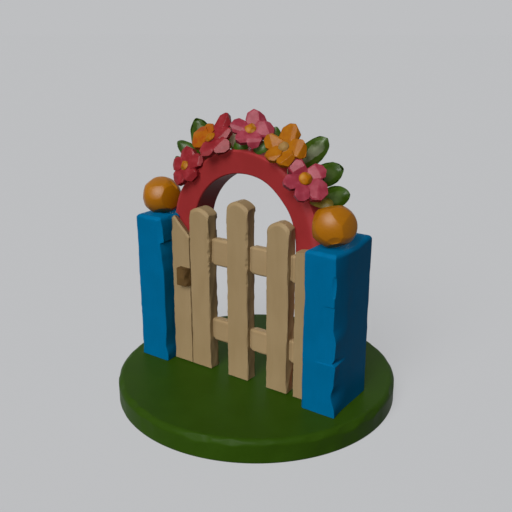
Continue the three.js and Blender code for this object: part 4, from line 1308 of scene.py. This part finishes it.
# The joinery inside: dowels under the posts and the arch's legs, and pegs under the balls, of the
# same bare wood as the gate. The latch's bolt and stem are of dark wood.
bolt_wood = bare_wood(
    "dark_bolt_wood", (92, 68, 40), (68, 48, 26), grain=0, seed=12, roughness=0.5
)
for name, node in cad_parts.items():
    if "hinge_" in name and name != "hinge_stile":
        finish = brass.material
    elif "dowel" in name or "peg" in name:
        finish = gate_wood
    elif name == "latch_bolt":
        finish = bolt_wood
    else:
        continue
    node.data.materials.clear()
    node.data.materials.append(finish)


# The photographer's table and light: a pale grey surface that runs on to the horizon, a broad
# soft light from the front a little to the right, a weaker one from behind, which the photograph
# doesn't see, and a dim even light all round.
BACKDROP = srgb(190, 191, 193)
TABLE_COLOUR = (200, 201, 203)  # under this light it shows as the backdrop
TABLE_BOUNCE = (44, 44, 44)  # what lights the ornament from below
LIGHT_TURN = 9  # degrees from straight in front, towards the right
LIGHT_HEIGHT = 38  # degrees above the table
BEHIND_TURN = 212  # the same two of the light from behind
BEHIND_HEIGHT = 2
LAMP_SPREAD = 34  # degrees of sky that a lamp covers
ROOM_LIGHT = 0.062
TABLE_GLOW = 0.75  # share of the table's look that is plain backdrop, without shade
TABLE_REACH = 40000
corners = np.array([[-1, -1, 0], [1, -1, 0], [1, 1, 0], [-1, 1, 0]]) * TABLE_REACH * MM
table_mesh = bpy.data.meshes.new("table")
table_mesh.from_pydata(corners, [], [[0, 1, 2, 3]])
table = put("table", table_mesh)

surface = Finish("pale_table", roughness=0.9, gloss=0)
rays = surface.node("LightPath")
camera_ray = Number(surface, rays.outputs["Is Camera Ray"])
glossy_ray = Number(surface, rays.outputs["Is Glossy Ray"])
mirrored = glossy_ray + Number(surface, rays.outputs["Is Transmission Ray"])
surface.colour(surface.blend(camera_ray, TABLE_BOUNCE, TABLE_COLOUR))
glow = surface.node("Emission", None, {"Color": BACKDROP, "Strength": 1.0})
mixed = surface.node("MixShader", None, {0: camera_ray * TABLE_GLOW + mirrored})
surface.feed(mixed.inputs[1], surface.shader.outputs[0])
surface.feed(mixed.inputs[2], glow.outputs[0])
surface.feed(surface.tree.nodes["Material Output"].inputs["Surface"], mixed.outputs[0])
table_mesh.materials.append(surface.material)

LAMPS = (
    ("window", 2.5, True, LIGHT_TURN, LIGHT_HEIGHT),
    ("window_fill", 1.5, False, LIGHT_TURN, LIGHT_HEIGHT),
    ("behind", 2.0, False, BEHIND_TURN, BEHIND_HEIGHT),
)
for name, energy, shades, turn, height in LAMPS:
    lamp = put(name, bpy.data.lights.new(name, "SUN"))
    lamp.data.energy = energy
    lamp.data.angle = math.radians(LAMP_SPREAD)
    lamp.data.use_shadow = shades
    lamp.rotation_euler = (math.radians(90 - height), 0, math.radians(turn))
    lamp.visible_glossy = name != "behind"

world = bpy.data.worlds.new("room")
world.use_nodes = True
bpy.context.scene.world = world
nodes, links = world.node_tree.nodes, world.node_tree.links
ambient = nodes["Background"]
ambient.inputs["Color"].default_value = BACKDROP
ambient.inputs["Strength"].default_value = ROOM_LIGHT
backdrop = nodes.new("ShaderNodeBackground")
backdrop.inputs["Color"].default_value = BACKDROP
path = nodes.new("ShaderNodeLightPath")
seen = path.outputs["Is Camera Ray"]
for kind in ("Is Glossy Ray", "Is Transmission Ray"):
    both = nodes.new("ShaderNodeMath")
    links.new(seen, both.inputs[0])
    links.new(path.outputs[kind], both.inputs[1])
    seen = both.outputs[0]
either = nodes.new("ShaderNodeMixShader")
links.new(seen, either.inputs[0])
links.new(ambient.outputs[0], either.inputs[1])
links.new(backdrop.outputs[0], either.inputs[2])
links.new(either.outputs[0], nodes["World Output"].inputs["Surface"])
bpy.context.scene.view_settings.view_transform = "Standard"
